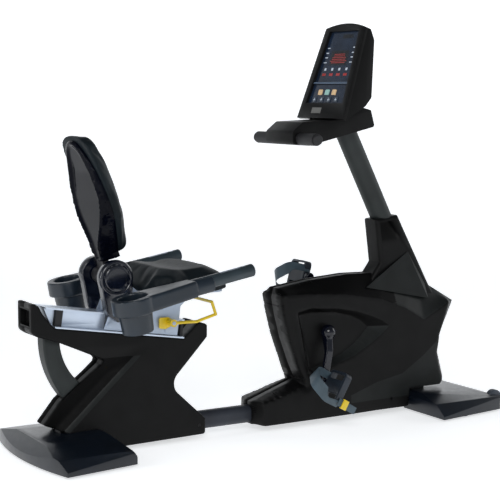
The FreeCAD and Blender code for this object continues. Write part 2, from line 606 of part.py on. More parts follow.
def make_crank_side(name, side, down):
    """One crank arm, pedal and toe strap; side is -1 on the right, down is -1 where the arm hangs."""
    end_x, end_z = crank_end(down)
    ball = Part.makeSphere(BOSS_RADIUS, Vector(0, 71, 0))
    bar = end_prism([(60, -12), (84, -12), (85, 14, 12), (102, 58, 30), (108, CRANK_LENGTH),
                     (96, CRANK_LENGTH), (87, 66, 30), (60, 26, 8)], -13, 13)
    eye = rod_y(0, CRANK_LENGTH, 15, 94, ARM_OUTER_Y)
    arm = fuse([ball, bar, eye]).cut(block((-40, 40), (0, BOSS_INNER_Y), (-40, 240)))
    arm = turned(arm, CRANK_TURN if down > 0 else 180 + CRANK_TURN, CRANK_X, CRANK_Z)
    arm = arm if side > 0 else flip(arm)
    export("crank_arm_" + name, [arm])

    y_mid = PEDAL_INNER_Y + PEDAL_WIDTH / 2
    y_far = PEDAL_INNER_Y + PEDAL_WIDTH
    half_long, half_thick = PEDAL_LENGTH / 2, PEDAL_THICK / 2
    body = block((-half_long, half_long), (PEDAL_INNER_Y, y_far), (-half_thick, half_thick))
    body = soften(body, 16.0, lambda edge: edge.BoundBox.ZLength > PEDAL_THICK - 1)
    for x in (-34, 34):
        slot = block((x - 11, x + 11), (PEDAL_INNER_Y + 12, y_far - 12), (-20, 20))
        body = body.cut(soften(slot, 4.0, lambda edge: edge.BoundBox.ZLength > 30))
    body = body.cut(rod_y(0, 0, 6 + RUNNING, PEDAL_INNER_Y - 1, y_far - 3))

    low_y, high_y = PEDAL_INNER_Y - 3.4, y_far + 3.4
    arch = end_prism([(-61, -8), (61, -8), (66, 50, 24), (12, 92, 40), (-60, 76, 30)], -22, 22)
    void = end_prism([(-58, -9), (58, -9), (63, 50, 21), (12, 89, 37), (-57, 74, 27)], -23, 23)
    strap = arch.cut(void)
    strap.rotate(Vector(0, 0, 0), Vector(0, 0, 1), STRAP_SKEW)
    strap.translate(Vector(-12, y_mid, 0))
    strap = strap.common(block((-100, 100), (low_y, high_y), (-20, 120)))
    strap = strap.cut(block((-52.3, 52.3), (PEDAL_INNER_Y - GAP, y_far + GAP), (-12.3, 12.3)))
    strap = strap.cut(rod_y(0, 0, 10, low_y - 5, PEDAL_INNER_Y + 2))
    tail = side_prism([(-58, -74), (-34, -74), (-32, 3), (-58, 3)], high_y + 0.4, high_y + 3.2)
    clip = side_prism([(-61, -34), (-29, -34), (-29, -12), (-61, -12)], high_y - 1, high_y + 8)
    tail_room = side_prism([(-58.3, -75), (-31.7, -75), (-31.7, 4), (-58.3, 4)], high_y + 0.1, high_y + 3.5)
    clip = clip.cut(tail_room)
    clip = clip.cut(block((-70, 60), (PEDAL_INNER_Y, y_far + 0.4), (-40, 40)))
    strap = strap.cut(block((-58.4, -31.6), (high_y - 3.1, high_y + 10), (-60, 3.3)))
    strap = max(strap.Solids, key=lambda solid: solid.Volume)
    placed = []
    for shape in (body, strap, tail, clip):
        shape = turned(shape, -PEDAL_TILT[name], end_x, end_z)
        placed.append(shape if side > 0 else flip(shape))
    export("pedal_" + name, [placed[0]])
    export("pedal_strap_" + name, placed[1:])


# ---------------------------------------------------------------- seat carriage

def make_carriage():
    rear_low = rail_point(CARRIAGE_START, 7)
    front_low = rail_point(CARRIAGE_END, 7)
    plate = side_prism([rear_low, front_low, (-360, 404, 10), (-356, 444, 14), (-325, 470, 6),
                        (-325, 497.5), (-500, 497.5), (-545, 536, 8), (-575, 500, 20), (-606, 432, 6)],
                       PLATE_Y[0], PLATE_Y[1])
    deck = block((-500, -326), (-PLATE_Y[1], PLATE_Y[1]), (491, 497.5))
    beam = block((-530, -502), (-222, 222), (464, 494)).cut(block((-526, -506), (-223, 223), (468, 490)))
    frame = fuse(both_sides(plate) + [deck, beam])
    pin_x, pin_z = LEVER_PIVOT
    frame = fuse([frame, rod_y(pin_x, pin_z, 6, -94, -PLATE_Y[1])])
    pan = plan_prism([(-488, -150, 30), (-250, -165, 40), (-250, 165, 40), (-488, 150, 30)], 497.5, 503.4)
    bolts = []
    for along, height in ((184, 22), (386, 22)):
        x, z = rail_point(along, height)
        bolts.append(rod_y(x, z, 9, PLATE_Y[1], PLATE_Y[1] + 4))
    tail_block = block((-604, -580), (-20, 20), (444, 474))
    tail_tie = block((-590, -584), (-PLATE_Y[1], PLATE_Y[1]), (452, 462))
    frame = fuse([frame, pan, tail_block, tail_tie] + bolts + [flip(bolt) for bolt in bolts])
    export("carriage_frame", [frame])

    glides = []
    glide_z = (RAIL_FLANGE + 0.35, RAIL_HEIGHT - RAIL_FLANGE - 0.35)
    for along in (176, 378):
        glide = block((along, along + 34), (RAIL_WEB_HALF + 0.4, PLATE_Y[0] - 0.1), glide_z)
        glides += both_sides(on_rail(glide))
    export("carriage_glides", glides)

    cushion = plan_prism([(-505, -150, 60), (-470, -192, 60), (-300, -188, 60), (-222, -130, 70),
                          (-222, 130, 70), (-300, 188, 60), (-470, 192, 60), (-505, 150, 60)], 503.7, 572)
    cushion = soften(cushion, 22.0, lambda edge: edge.BoundBox.ZMin > 571)
    export("seat_cushion", [cushion])

    bracket = fuse([
        rod_y(HUB_X, HUB_Z, HUB_RADIUS, HUB_Y[0], HUB_Y[1]),
        side_prism([(-646, 545), (-638, 508, 30), (-626, 442, 30), (-588, 414, 4), (-552, 424, 20),
                    (-540, 470, 30), (-538, 545)], HUB_Y[0], HUB_Y[1] - 1)])
    groove = rod_y(HUB_X, HUB_Z, 43, HUB_Y[1] - 3, HUB_Y[1] + 1).cut(rod_y(HUB_X, HUB_Z, 39, 80, 90))
    bracket = bracket.cut(groove).cut(rod_y(HUB_X, HUB_Z, 10.1, 50, 75))
    bracket = bracket.cut(block((-531, -500), (40, 100), (463, 495)))
    export("hub_brackets", both_sides(bracket))
    export("recline_axle", [rod_y(HUB_X, HUB_Z, 10, -74, 74)])


def make_lever():
    """Release handle: a boss and bent rod on the right, and a grip that reaches across under the seat."""
    pivot_x, pivot_z = LEVER_PIVOT
    path = [Vector(pivot_x, -85, pivot_z), Vector(-316, -85, 396), Vector(-246, -85, 414),
            Vector(-260, -85, 455), Vector(-260, 80, 455)]
    rods = [rod(path[index], path[index + 1], 5) for index in range(4)]
    balls = [Part.makeSphere(5, point) for point in path[1:]]
    cheek = side_prism([(pivot_x - 36, 380, 6), (pivot_x - 36, 414, 6),
                        (pivot_x - 4, 414, 4), (pivot_x + 14, 404, 6),
                        (pivot_x + 14, 388, 6), (pivot_x - 14, 377, 5)], -62, -57)
    boss = rod_y(pivot_x, pivot_z, 12, -92, -57)
    handle = fuse(rods + balls + [cheek, boss])
    export("seat_lever", [handle.cut(rod_y(pivot_x, pivot_z, 6 + RUNNING, -96, -50))])


def make_armrests():
    ring = Part.makeCylinder(CUP_RING_RADIUS, 48, Vector(0, 0, -24))
    body = plan_prism([(-10, -60), (60, -54, 60), (206, -31, 8),
                       (206, 31, 8), (60, 54, 60), (-10, 60)], -25, 25)
    body = soften(body, 8.0, lambda edge: edge.BoundBox.ZLength < 0.1 and edge.BoundBox.XLength > 60)
    cup = Part.makeCone(47, 52, 62, Vector(0, 0, -86))
    socket = Part.makeCylinder(27, 66, Vector(202, 0, 0), Vector(1, 0, 0))
    arm = fuse([ring, body, cup, socket])
    arm = arm.cut(Part.makeCone(41, CUP_BORE, 106, Vector(0, 0, -81)))
    arm = arm.cut(Part.makeCylinder(20.2, 80, Vector(226, 0, 6), Vector(1, 0, 0)))
    arm.translate(Vector(0, ARM_Y, 0))
    left = on_arm(arm)
    left = left.cut(block((-530.3, -501.7), (180, 222.3), (463.7, 494.3)))
    grip = Part.makeCylinder(20, 190, Vector(228, ARM_Y, 6), Vector(1, 0, 0))
    grip = soften(grip, 4.0, lambda edge: edge.BoundBox.XMin > 417)
    seat_cut = block((300, 372), (ARM_Y - 9, ARM_Y + 9), (23.4, 30))
    dot_cut = block((380, 394), (ARM_Y - 6, ARM_Y + 6), (23.4, 30))
    grip = on_arm(grip.cut(seat_cut).cut(dot_cut))
    tube = Part.makeCylinder(20, 200, Vector(220, ARM_Y, 6), Vector(1, 0, 0))
    plates = [block((300.2, 371.8), (ARM_Y - 8.8, ARM_Y + 8.8), (23.5, 28)),
              block((380.2, 393.8), (ARM_Y - 5.8, ARM_Y + 5.8), (23.5, 28))]
    sensors = [on_arm(plate.common(tube)) for plate in plates]
    export("armrest_right", [flip(left)])
    export("armrest_left", [left])
    export("armrest_grips", [flip(grip), grip])
    export("pulse_sensors", sensors + [flip(sensor) for sensor in sensors])


# ---------------------------------------------------------------- backrest

def front_view(half, x_low, x_high, inset=0.0):
    """Backrest outline swept along the backrest's own x; inset pulls it in all round."""
    middle_low, middle_high = half[0][1], half[-1][1]
    centre = (middle_low + middle_high) / 2
    tall = (middle_high - middle_low) / 2
    corners = []
    for u, v, radius in half:
        scale_u = (max(u, 1) - inset) / max(u, 1) if u else 1
        corners.append((u * scale_u, centre + (v - centre) * (tall - inset) / tall, radius))
    other = [(-u, v, radius) for u, v, radius in reversed(corners) if u > 0]
    return end_prism([corner for corner in corners if corner[0] > 0] + other, x_low, x_high)


def make_backrest():
    sleeve = rod_y(0, 0, 27, -46, 46)
    bar = side_prism([(-13, 0), (13, 0), (16, 44), (49, 110),
                      (49, 240), (38, 240), (38, 118), (0, 52)], -22, 22)
    post = fuse([sleeve, bar]).cut(rod_y(0, 0, 10 + RUNNING, -47, 47))
    export("backrest_post", [on_back(post)])

    side = side_prism([(36, 44), (BACK_PLANE, 66), (BACK_PLANE, 428), (50, 428), (43, 328, 200),
                       (26, 242, 200), (4, 140, 100), (-5, 90, 60), (-10, 44, 4)], -140, 140)
    shell = front_view(SHELL_OUTLINE, -20, 60).common(side)
    pocket = front_view(SHELL_OUTLINE, -20, 35, 13.0).common(block((-20, 35), (-140, 140), (112, 460)))
    flange = front_view(BACK_OUTLINE, BACK_PLANE - 8, BACK_PLANE, 6.0)
    shell = shell.cut(pocket).fuse(flange)
    bar_room = side_prism([(-30, 0), (16.6, 0), (16.6, 43.6), (49.5, 109.5), (49.5, 240.5),
                           (37.5, 240.5), (37.5, 118.4), (-0.6, 52.4), (-30, 52.4)], -22.4, 22.4)
    shell = shell.cut(bar_room)
    shell = shell.cut(rod_y(0, 0, 29, -60, 60))
    shell = max(shell.Solids, key=lambda solid: solid.Volume)
    export("backrest_shell", [on_back(shell)])

    cushion_front = BACK_PLANE + 47
    cushion = front_view(BACK_OUTLINE, BACK_PLANE + 0.4, cushion_front)
    cushion = soften(cushion, 18.0, lambda edge: edge.BoundBox.XMin > cushion_front - 0.1)
    export("backrest_cushion", [on_back(cushion)])


# ---------------------------------------------------------------- mast, handlebar and console

def make_mast():
    tube = mast_rod(MAST_RADIUS, 0, MAST_LENGTH).cut(mast_rod(MAST_RADIUS - 3, -1, MAST_LENGTH + 1))
    tube = tube.cut(block((0, 900), (-60, 60), (300, 404.5)))
    export("mast_tube", [tube])

    tray_side = [(44, 950, 14), (110, 945, 20), (372, 1005, 8), (356, 1061, 4), (300, 1074.6, 4),
                 (216, 1028.6, 4), (84, 1023, 10), (44, 992, 16)]
    tray = side_prism(tray_side, -84, 84)
    hollow = side_prism([(56, 960), (110, 957), (362, 1013), (350, 1054), (316, 1055),
                         (219, 1018), (88, 1016), (56, 990)], -78, 78)
    tray = tray.cut(hollow).cut(mast_rod(MAST_RADIUS + 0.4, 500, MAST_LENGTH + 20))
    tray = tray.cut(rod_y(75, 968, 17.2, -90, 90))
    export("handlebar_tray", [tray])
    bar = rod_y(75, 968, 17, -192, 192)
    bar = soften(bar, 5.0, lambda edge: edge.BoundBox.XLength > 30)
    sleeve = rod_y(75, 968, 20, 84.5, 180).cut(rod_y(75, 968, 17.02, 84, 181))
    export("handlebar", [bar])
    export("handlebar_grips", both_sides(sleeve))


def face_solid(depth_low, depth_high, inset):
    """Face outline of the console, swept through a span of depth, pulled in by inset."""
    low, high = FACE_HALF_LOW - inset, FACE_HALF_HIGH - inset
    base, top = inset, FACE_HEIGHT - inset
    low_right, low_left = Vector(depth_low, -low, base), Vector(depth_low, low, base)
    high_right, high_left = Vector(depth_low, -high, top), Vector(depth_low, high, top)
    crown = Vector(depth_low, 0, top + 15)
    edges = [
        Part.LineSegment(low_right, low_left).toShape(),
        Part.LineSegment(low_left, high_left).toShape(),
        Part.Arc(high_left, crown, high_right).toShape(),
        Part.LineSegment(high_right, low_right).toShape()]
    return Part.Face(Part.Wire(edges)).extrude(Vector(depth_high - depth_low, 0, 0))


def make_console():
    profile = [(0, 0), (14, 0), (76, 67, 6), (92, 103, 10), (50, 290, 8), (16, 334), (0, 336)]
    body = face_solid(0, 140, 0).common(side_prism(profile, -160, 160))
    inner_profile = [(14, 3), (15, 4), (74, 69), (88, 103), (47, 288), (14, 303)]
    hollow = face_solid(14, 140, WALL + 0.5).common(side_prism(inner_profile, -160, 160))
    parting = block((-5, 14), (-200, 200), (-10, 400))
    bezel = body.common(parting)
    shell = body.cut(parting).cut(hollow)
    window_low, window_high = 53.0, 309.0
    window = [(111, window_low), (87, window_high)]
    opening = end_prism([(-window[0][0], window_low), (window[0][0], window_low),
                         (window[1][0], window_high), (-window[1][0], window_high)], -10, 20)
    bezel = bezel.cut(opening)
    divider = block((6, 13.9), (-107, 107), (122, 130))
    bezel = bezel.fuse(divider)
    export("console_housing", [on_face(shell)])
    export("console_bezel", [on_face(bezel)])

    def window_part(z_low, z_high, x_low, x_high):
        slab = end_prism([(-window[0][0] + 0.3, window_low + 0.3), (window[0][0] - 0.3, window_low + 0.3),
                          (window[1][0] - 0.3, window_high - 0.3), (-window[1][0] + 0.3, window_high - 0.3)],
                         x_low, x_high)
        return slab.common(block((x_low - 1, x_high + 1), (-200, 200), (z_low, z_high)))
    lens = window_part(130.3, 320, OVERLAY_DEPTH, OVERLAY_DEPTH + 3)
    keypad = window_part(40, 121.7, OVERLAY_DEPTH, OVERLAY_DEPTH + 3)
    for group, height, places in KEY_ROWS:
        for number, y in enumerate(places, start=1):
            half_y, half_z = KEY_SIZE[0] / 2, KEY_SIZE[1] / 2
            keypad = keypad.cut(block((0, 20), (y - half_y - GAP, y + half_y + GAP),
                                      (height - half_z - GAP, height + half_z + GAP)))
            key = block((OVERLAY_DEPTH - 2, OVERLAY_DEPTH + 3), (y - half_y, y + half_y),
                        (height - half_z, height + half_z))
            key = soften(key, 3.0, lambda edge: edge.BoundBox.XLength > 4)
            export("key_" + group + "_" + str(number), [on_face(key)])
    export("console_windows", [on_face(lens), on_face(keypad)])
    board = block((OVERLAY_DEPTH + 4.6, OVERLAY_DEPTH + 6.2), (-98, 98), (50, 290))
    export("console_board", [on_face(board)])


def make_power_socket():
    body = block((605, 635), (62, 74.6), (124, 148)).fuse(block((602, 638), (75.2, 77), (121, 151)))
    body = body.fuse(block((606, 634), (74, 76), (125, 147)))
    body = body.cut(block((609, 631), (66, 80), (128, 144)))
    for x in (614, 620, 626):
        body = body.fuse(block((x - 1, x + 1), (63, 74), (134, 138)))
    export("power_socket", [body])


screws = make_rear_base()
make_rail()
make_main_tube()
screws += make_front_base()
make_front_frame()
make_front_foot()
make_drive()
make_carriage()
make_lever()
make_armrests()
make_backrest()
make_mast()
make_console()
make_power_socket()
export("housing_screws", screws)
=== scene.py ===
from math import cos, exp, hypot, pi, radians, sin, tan

import bmesh
import bpy
import numpy as np
from mathutils import Matrix, Vector
from mathutils.geometry import delaunay_2d_cdt
from mathutils.kdtree import KDTree


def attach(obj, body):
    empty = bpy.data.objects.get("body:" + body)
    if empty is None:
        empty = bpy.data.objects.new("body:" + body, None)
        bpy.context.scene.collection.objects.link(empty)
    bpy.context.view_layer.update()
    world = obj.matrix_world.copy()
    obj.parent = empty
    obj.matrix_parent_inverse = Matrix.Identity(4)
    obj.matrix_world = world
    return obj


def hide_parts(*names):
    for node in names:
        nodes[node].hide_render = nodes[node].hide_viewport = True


# Looks of a recumbent exercise bike, in metres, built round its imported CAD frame.
# +X is the rider's forward, +Y the rider's left, +Z up.

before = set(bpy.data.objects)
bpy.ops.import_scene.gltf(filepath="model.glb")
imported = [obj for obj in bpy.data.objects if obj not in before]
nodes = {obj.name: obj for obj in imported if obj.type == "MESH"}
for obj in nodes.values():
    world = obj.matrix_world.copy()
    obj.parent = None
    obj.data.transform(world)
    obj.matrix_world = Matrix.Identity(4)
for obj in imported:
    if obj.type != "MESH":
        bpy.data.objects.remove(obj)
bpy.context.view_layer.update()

# ---------------------------------------------------------------- places shared with the CAD frame
MM = 0.001  # outlines and radii below are in millimetres, places and meshes in metres
SIDES = (("right", -1), ("left", 1))
CRANK = Vector((0.197, 0.0, 0.316))
HUB = Vector((-0.592, 0.0, 0.552))
BACK_LEAN = radians(22.0)
FACE_BASE = Vector((0.203, 0.0, 1.034))
FACE_LEAN = radians(18.6)


def turned_at(angle, origin):
    """Frame of a group that leans about the Y axis at its origin."""
    return Matrix.Translation(origin) @ Matrix.Rotation(angle, 4, "Y")


ON_BACK = turned_at(-BACK_LEAN, HUB)
ON_FACE = turned_at(FACE_LEAN, FACE_BASE)


# ---------------------------------------------------------------- materials
def new_material(name):
    """A new material, with its node tree and its shader."""
    material = bpy.data.materials.new(name)
    material.use_nodes = True
    tree = material.node_tree
    return material, tree, tree.nodes["Principled BSDF"]


def add_node(tree, kind, **values):
    """A shader node with some of its properties or inputs set."""
    node = tree.nodes.new(kind)
    for key, value in values.items():
        if hasattr(node, key):
            setattr(node, key, value)
        else:
            node.inputs[key.replace("_", " ")].default_value = value
    return node


def moulded(name, color, roughness=0.45, metallic=0.0, grain=1400.0, bump=0.04, vary=0.25, cloud=14.0,
            rough_vary=0.08, specular=0.5, coat=0.0, coat_roughness=0.1, ior=1.5):
    """Moulded or painted skin: fine grain bump, slow drifts of colour and of roughness."""
    material, tree, shader = new_material(name)
    shader.inputs["Metallic"].default_value = metallic
    shader.inputs["Specular IOR Level"].default_value = specular
    shader.inputs["IOR"].default_value = ior
    shader.inputs["Coat Weight"].default_value = coat
    shader.inputs["Coat Roughness"].default_value = coat_roughness
    link = tree.links.new
    place = add_node(tree, "ShaderNodeTexCoord")
    slow = add_node(tree, "ShaderNodeTexNoise", Scale=cloud, Detail=4.0)
    link(place.outputs["Object"], slow.inputs["Vector"])
    colors = add_node(tree, "ShaderNodeValToRGB")
    dark = [max(channel * (1 - vary), 0.0) for channel in color]
    light = [min(channel * (1 + vary), 1.0) for channel in color]
    colors.color_ramp.elements[0].position = 0.3
    colors.color_ramp.elements[0].color = (*dark, 1)
    colors.color_ramp.elements[1].position = 0.7
    colors.color_ramp.elements[1].color = (*light, 1)
    link(slow.outputs["Fac"], colors.inputs["Fac"])
    link(colors.outputs["Color"], shader.inputs["Base Color"])
    spread = add_node(tree, "ShaderNodeMapRange")
    spread.inputs["To Min"].default_value = roughness - rough_vary
    spread.inputs["To Max"].default_value = roughness + rough_vary
    patches = add_node(tree, "ShaderNodeTexNoise", Scale=cloud * 4, Detail=5.0)
    link(place.outputs["Object"], patches.inputs["Vector"])
    link(patches.outputs["Fac"], spread.inputs["Value"])
    link(spread.outputs["Result"], shader.inputs["Roughness"])
    fine = add_node(tree, "ShaderNodeTexNoise", Scale=grain, Detail=2.0)
    link(place.outputs["Object"], fine.inputs["Vector"])
    relief = add_node(tree, "ShaderNodeBump", Strength=bump, Distance=0.001)
    link(fine.outputs["Fac"], relief.inputs["Height"])
    link(relief.outputs["Normal"], shader.inputs["Normal"])
    return material


MATERIALS = {
    "foot": moulded("foot_plastic", (0.003, 0.006, 0.012), 0.34, specular=0.45, coat=0.15,
                    coat_roughness=0.2),
    "housing": moulded("housing_plastic", (0.0045, 0.0045, 0.0046), 0.45, specular=0.14),
    # Lighter and darker copies of the housing plastic: painted highlight and painted shade on chosen faces of
    # the housings and on the gussets
    "housing painted highlight": moulded("housing_plastic_painted_highlight", (0.0085, 0.0100, 0.0100), 0.45, specular=0.2),
    "housing painted shade": moulded("housing_plastic_painted_shade", (0.0012, 0.0012, 0.0013), 0.5, specular=0.08),
    "charcoal": moulded("charcoal_paint", (0.019, 0.023, 0.023), 0.5, specular=0.3),
    "frame": moulded("frame_paint", (0.012, 0.012, 0.014), 0.4),
    "tube": moulded("tube_paint", (0.022, 0.026, 0.036), 0.5, specular=0.4),
    "aluminium": moulded("rail_aluminium", (0.60, 0.68, 0.80), 0.32, metallic=0.6, grain=500.0, bump=0.03,
                         vary=0.05),
    "silver": moulded("silver_paint", (0.42, 0.49, 0.60), 0.4, metallic=0.35, grain=900.0, vary=0.06),
    "rubber": moulded("rubber_black", (0.010, 0.010, 0.012), 0.6, bump=0.08),
    "steel": moulded("bearing_steel", (0.50, 0.50, 0.52), 0.28, metallic=1.0, vary=0.08),
    "screw": moulded("screw_steel", (0.004, 0.004, 0.005), 0.35, metallic=0.5),
    "nylon": moulded("nylon", (0.03, 0.03, 0.035), 0.5),
    "iron": moulded("cast_iron", (0.12, 0.12, 0.13), 0.45, metallic=1.0),
    "crank": moulded("crank_gloss", (0.002, 0.003, 0.009), 0.18, specular=0.4, coat=0.3, coat_roughness=0.06),
    "pedal": moulded("pedal_plastic", (0.012, 0.018, 0.028), 0.4),
    "strap": moulded("strap_rubber", (0.050, 0.080, 0.102), 0.5, bump=0.08),
    "arm": moulded("arm_plastic", (0.006, 0.013, 0.022), 0.36, specular=0.55),
    "grip": moulded("grip_plastic", (0.022, 0.035, 0.044), 0.4, specular=0.5),
    "sensor": moulded("sensor_steel", (0.35, 0.40, 0.47), 0.3, metallic=0.9, grain=700.0, vary=0.06),
    "yellow": moulded("lever_yellow", (0.80, 0.56, 0.01), 0.34, vary=0.12, coat=0.3),
    "shell": moulded("shell_gloss", (0.0015, 0.002, 0.005), 0.13, bump=0.01, ior=1.18),
    "hub": moulded("hub_plastic", (0.002, 0.004, 0.012), 0.2, bump=0.02, specular=0.6, coat=0.4),
    "window": moulded("window_dark", (0.010, 0.020, 0.042), 0.12, bump=0.0, vary=0.3),
    "board": moulded("board_green", (0.01, 0.08, 0.03), 0.5),
    "socket": moulded("socket_plastic", (0.008, 0.008, 0.008), 0.45),
    "vinyl": moulded("vinyl", (0.007, 0.011, 0.014), 0.52, grain=700.0, bump=0.15, ior=1.22),
    "amber": moulded("key_amber", (0.80, 0.55, 0.30), 0.4, vary=0.1),
    "teal": moulded("key_teal", (0.35, 0.60, 0.55), 0.4, vary=0.1),
    "display": moulded("display_field", (0.004, 0.006, 0.010), 0.15, bump=0.0),
    "print": moulded("panel_print", (0.62, 0.68, 0.76), 0.5, bump=0.0, vary=0.05),
    "lamp": moulded("red_lamp", (0.50, 0.03, 0.02), 0.4, bump=0.0, vary=0.1),
    "trim": moulded("panel_trim", (0.16, 0.24, 0.36), 0.4, bump=0.0, vary=0.1),
    "plate": moulded("chin_plate", (0.15, 0.15, 0.14), 0.4, bump=0.0, vary=0.1),
    "mark": moulded("key_marks", (0.60, 0.68, 0.78), 0.4, bump=0.0, vary=0.1),
    "dark key": moulded("key_navy", (0.020, 0.035, 0.060), 0.4, vary=0.1),
    "wheel": moulded("wheel_rubber", (0.040, 0.052, 0.072), 0.5, bump=0.08),
}

NODE_LOOKS = {
    "foot": ["rear_foot_cover", "front_foot_cover"],
    "housing": ["rear_housing_right", "rear_housing_left", "rear_end_cap", "front_housing_right",
                "front_housing_left", "mast_boot", "handlebar_tray", "console_housing", "console_bezel"],
    "charcoal": ["rear_strut", "mast_tube"],
    "frame": ["rear_frame", "front_frame", "brake_magnet", "backrest_post"],
    "tube": ["main_tube"],
    "aluminium": ["seat_rail"],
    "rubber": ["rail_end_stops", "foot_pads", "drive_belt", "handlebar_grips", "handlebar"],
    "wheel": ["transport_wheel_right", "transport_wheel_left"],
    "silver": ["carriage_frame"],
    "steel": ["crank_bearings", "crank_axle", "recline_axle", "pedal_spindles"],
    "screw": ["housing_screws"],
    "nylon": ["carriage_glides", "drive_pulley"],
    "iron": ["flywheel"],
    "crank": ["crank_arm_right", "crank_arm_left"],
    "pedal": ["pedal_right", "pedal_left"],
    "strap": ["pedal_strap_right", "pedal_strap_left"],
    "arm": ["armrest_right", "armrest_left"],
    "hub": ["hub_brackets"],
    "grip": ["armrest_grips"],
    "sensor": ["pulse_sensors"],
    "yellow": ["seat_lever"],
    "shell": ["backrest_shell"],
    "vinyl": ["backrest_cushion", "seat_cushion"],
    "window": ["console_windows"],
    "board": ["console_board"],
    "socket": ["power_socket"],
    "amber": ["key_program_1", "key_program_3"],
    "teal": ["key_program_2"],
    "dark key": ["key_function_1", "key_function_2", "key_function_3", "key_function_4"],
}


def dress(thing, look):
    """Give every material slot of a piece one look."""
    if not thing.data.materials:
        thing.data.materials.append(MATERIALS[look])
    for entry in thing.material_slots:
        entry.material = MATERIALS[look]


for look, names in NODE_LOOKS.items():
    for name in names:
        dress(nodes[name], look)


# ---------------------------------------------------------------- outlines, in millimetres
# Side outlines are (x, z), with a corner radius as a third value where the corners are round.
# Backrest outlines are the half from the middle to the rider's left: (across, up the back).
FRONT_SIDE = [(-60, 22), (545, 22), (545, 86), (690, 86), (684, 119), (662, 200), (668, 265), (712, 383),
              (599, 327), (518, 374), (411, 414), (266, 439), (105, 451), (12, 452), (14, 440), (23, 389),
              (46, 303), (79, 215), (104, 142), (-60, 100)]
FRONT_CROWN = [(-76, 22), (545, 22), (545, 86), (722, 86), (720, 112), (697, 196), (703, 256), (763, 378),
               (648, 444), (560, 474), (440, 498), (303, 501), (150, 490), (22, 472), (14, 440), (23, 389),
               (46, 303), (79, 215), (104, 160), (-78, 98)]
REAR_EDGE = [(12, 452), (14, 440), (23, 389), (46, 303), (79, 215), (104, 142)]
REAR_ROUND = 26.0
FRONT_CREASE = [(663, 250), (594, 197), (507, 144), (401, 125), (276, 84)]
FRONT_SCREWS = [(469, 56)]
SOCKET_HOLE = [(605, 124), (635, 124), (635, 148), (605, 148)]
POCKET_RIM = [(72, 392), (126, 402), (239, 393), (310, 378), (377, 356), (418, 338), (449, 318), (418, 292),
              (378, 266), (302, 225), (234, 205), (118, 170)]
POCKET_FLOOR = [(90, 380), (140, 386), (236, 378), (300, 362), (340, 343), (372, 318), (345, 290), (312, 262),
                (262, 232), (200, 212), (132, 190)]
REAR_SIDE = [
    (-818, 108, 4), (-742, 76, 10), (-573, 15, 25), (-268, 20, 8), (-268, 72, 8), (-398, 194, 42),
    (-260, 338, 8), (-260, 379, 8), (-291, 389, 8), (-327, 355, 4), (-345, 339.3, 3), (-788, 409.5, 4),
    (-824, 454, 12), (-837, 480, 8), (-850, 488, 6), (-863, 489, 5), (-863, 400, 16), (-844, 387, 8),
    (-772, 363, 10), (-612, 291, 10), (-697, 227, 30), (-761, 177, 20)]
LEG_RIDGE = [(-745, 78), (-533, 268), (-455, 338)]
REAR_SCREWS = [(-593, 45), (-289, 51)]
HANDHOLD = (-872, -838, -44, 44, 412, 473)
SINK_RADII = (5.4, 6.0)  # a screw's sink is full depth inside the first and ends at the second
HUB_PROFILE = [(55.5, 60), (57, 72), (56.5, 80), (54, 85), (50, 87.5), (46, 86.5), (43.5, 83), (42.5, 81.5),
               (41.5, 83.5), (40, 86), (37, 87.5), (30, 88), (12, 88.2)]
SHELL_HALF = [(0, 44), (30, 44), (31, 64), (44, 82), (72, 130), (97, 174), (106, 206), (108, 238), (106, 296),
              (95, 340), (74, 380), (54, 408), (34, 424), (14, 431), (0, 432)]
SHELL_RIM_HALF = [(0, 49), (25, 50), (28, 76), (31, 100), (40, 120), (56, 144), (75, 171), (88, 196),
                  (97, 220), (101, 246), (98, 270), (90, 298), (79, 329), (66, 358), (54, 383), (42, 403),
                  (30, 415), (16, 422), (0, 425)]
BACK_PLANE = 58.0


# ---------------------------------------------------------------- relief meshes
def circle(u, v, radius, count=20):
    """Points round a circle."""
    return [(u + radius * cos(2 * pi * step / count), v + radius * sin(2 * pi * step / count))
            for step in range(count)]


def rounded(corners):
    """Closed outline through (u, v, radius) corners, each turned in short steps."""
    stops = []
    for index, (u, v, radius) in enumerate(corners):
        corner = Vector((u, v))
        before = (Vector(corners[index - 1][:2]) - corner).normalized()
        after = (Vector(corners[(index + 1) % len(corners)][:2]) - corner).normalized()
        half = before.angle(after) / 2
        centre = corner + (before + after).normalized() * radius / sin(half)
        reach = radius / tan(half)
        start, end = corner + before * reach - centre, corner + after * reach - centre
        count = max(2, int(radius / 4))
        for step in range(count + 1):
            part = start.lerp(end, step / count)
            stops.append(tuple(centre + part.normalized() * radius))
    return stops


def both_halves(half):
    """Closed outline from its half on the rider's left, listed from low to high."""
    return list(half) + [(-u, v) for u, v in reversed(half) if u > 0]


def distance_to_line(points, line, closed=False):
    """Least distance from each point to a polyline."""
    stops = [np.array(stop, float) for stop in line]
    ends = stops[1:] + stops[:1] if closed else stops[1:]
    best = np.full(len(points), np.inf)
    for start, end in zip(stops, ends):
        span = end - start
        along = np.clip(((points - start) @ span) / max(span @ span, 1e-12), 0, 1)
        best = np.minimum(best, np.linalg.norm(points - start - along[:, None] * span, axis=1))
    return best


def inside(points, loop):
    """Whether each point lies inside a closed outline."""
    hits = np.zeros(len(points), bool)
    u, v = points[:, 0], points[:, 1]
    for (u0, v0), (u1, v1) in zip(loop, list(loop[1:]) + [loop[0]]):
        if v0 == v1:
            continue
        crosses = (v0 > v) != (v1 > v)
        hits ^= crosses & (u < (u1 - u0) * (v - v0) / (v1 - v0) + u0)
    return hits


def slope_between(points, low_line, high_line):
    """0 on and outside the low loop, 1 inside the high loop, sloping evenly in between."""
    low = distance_to_line(points, low_line, True)
    high = distance_to_line(points, high_line, True)
    part = np.where(low + high < 1e-3, 1.0, low / np.maximum(low + high, 1e-9))
    part[inside(points, high_line)] = 1.0
    part[~inside(points, low_line)] = 0.0
    return part


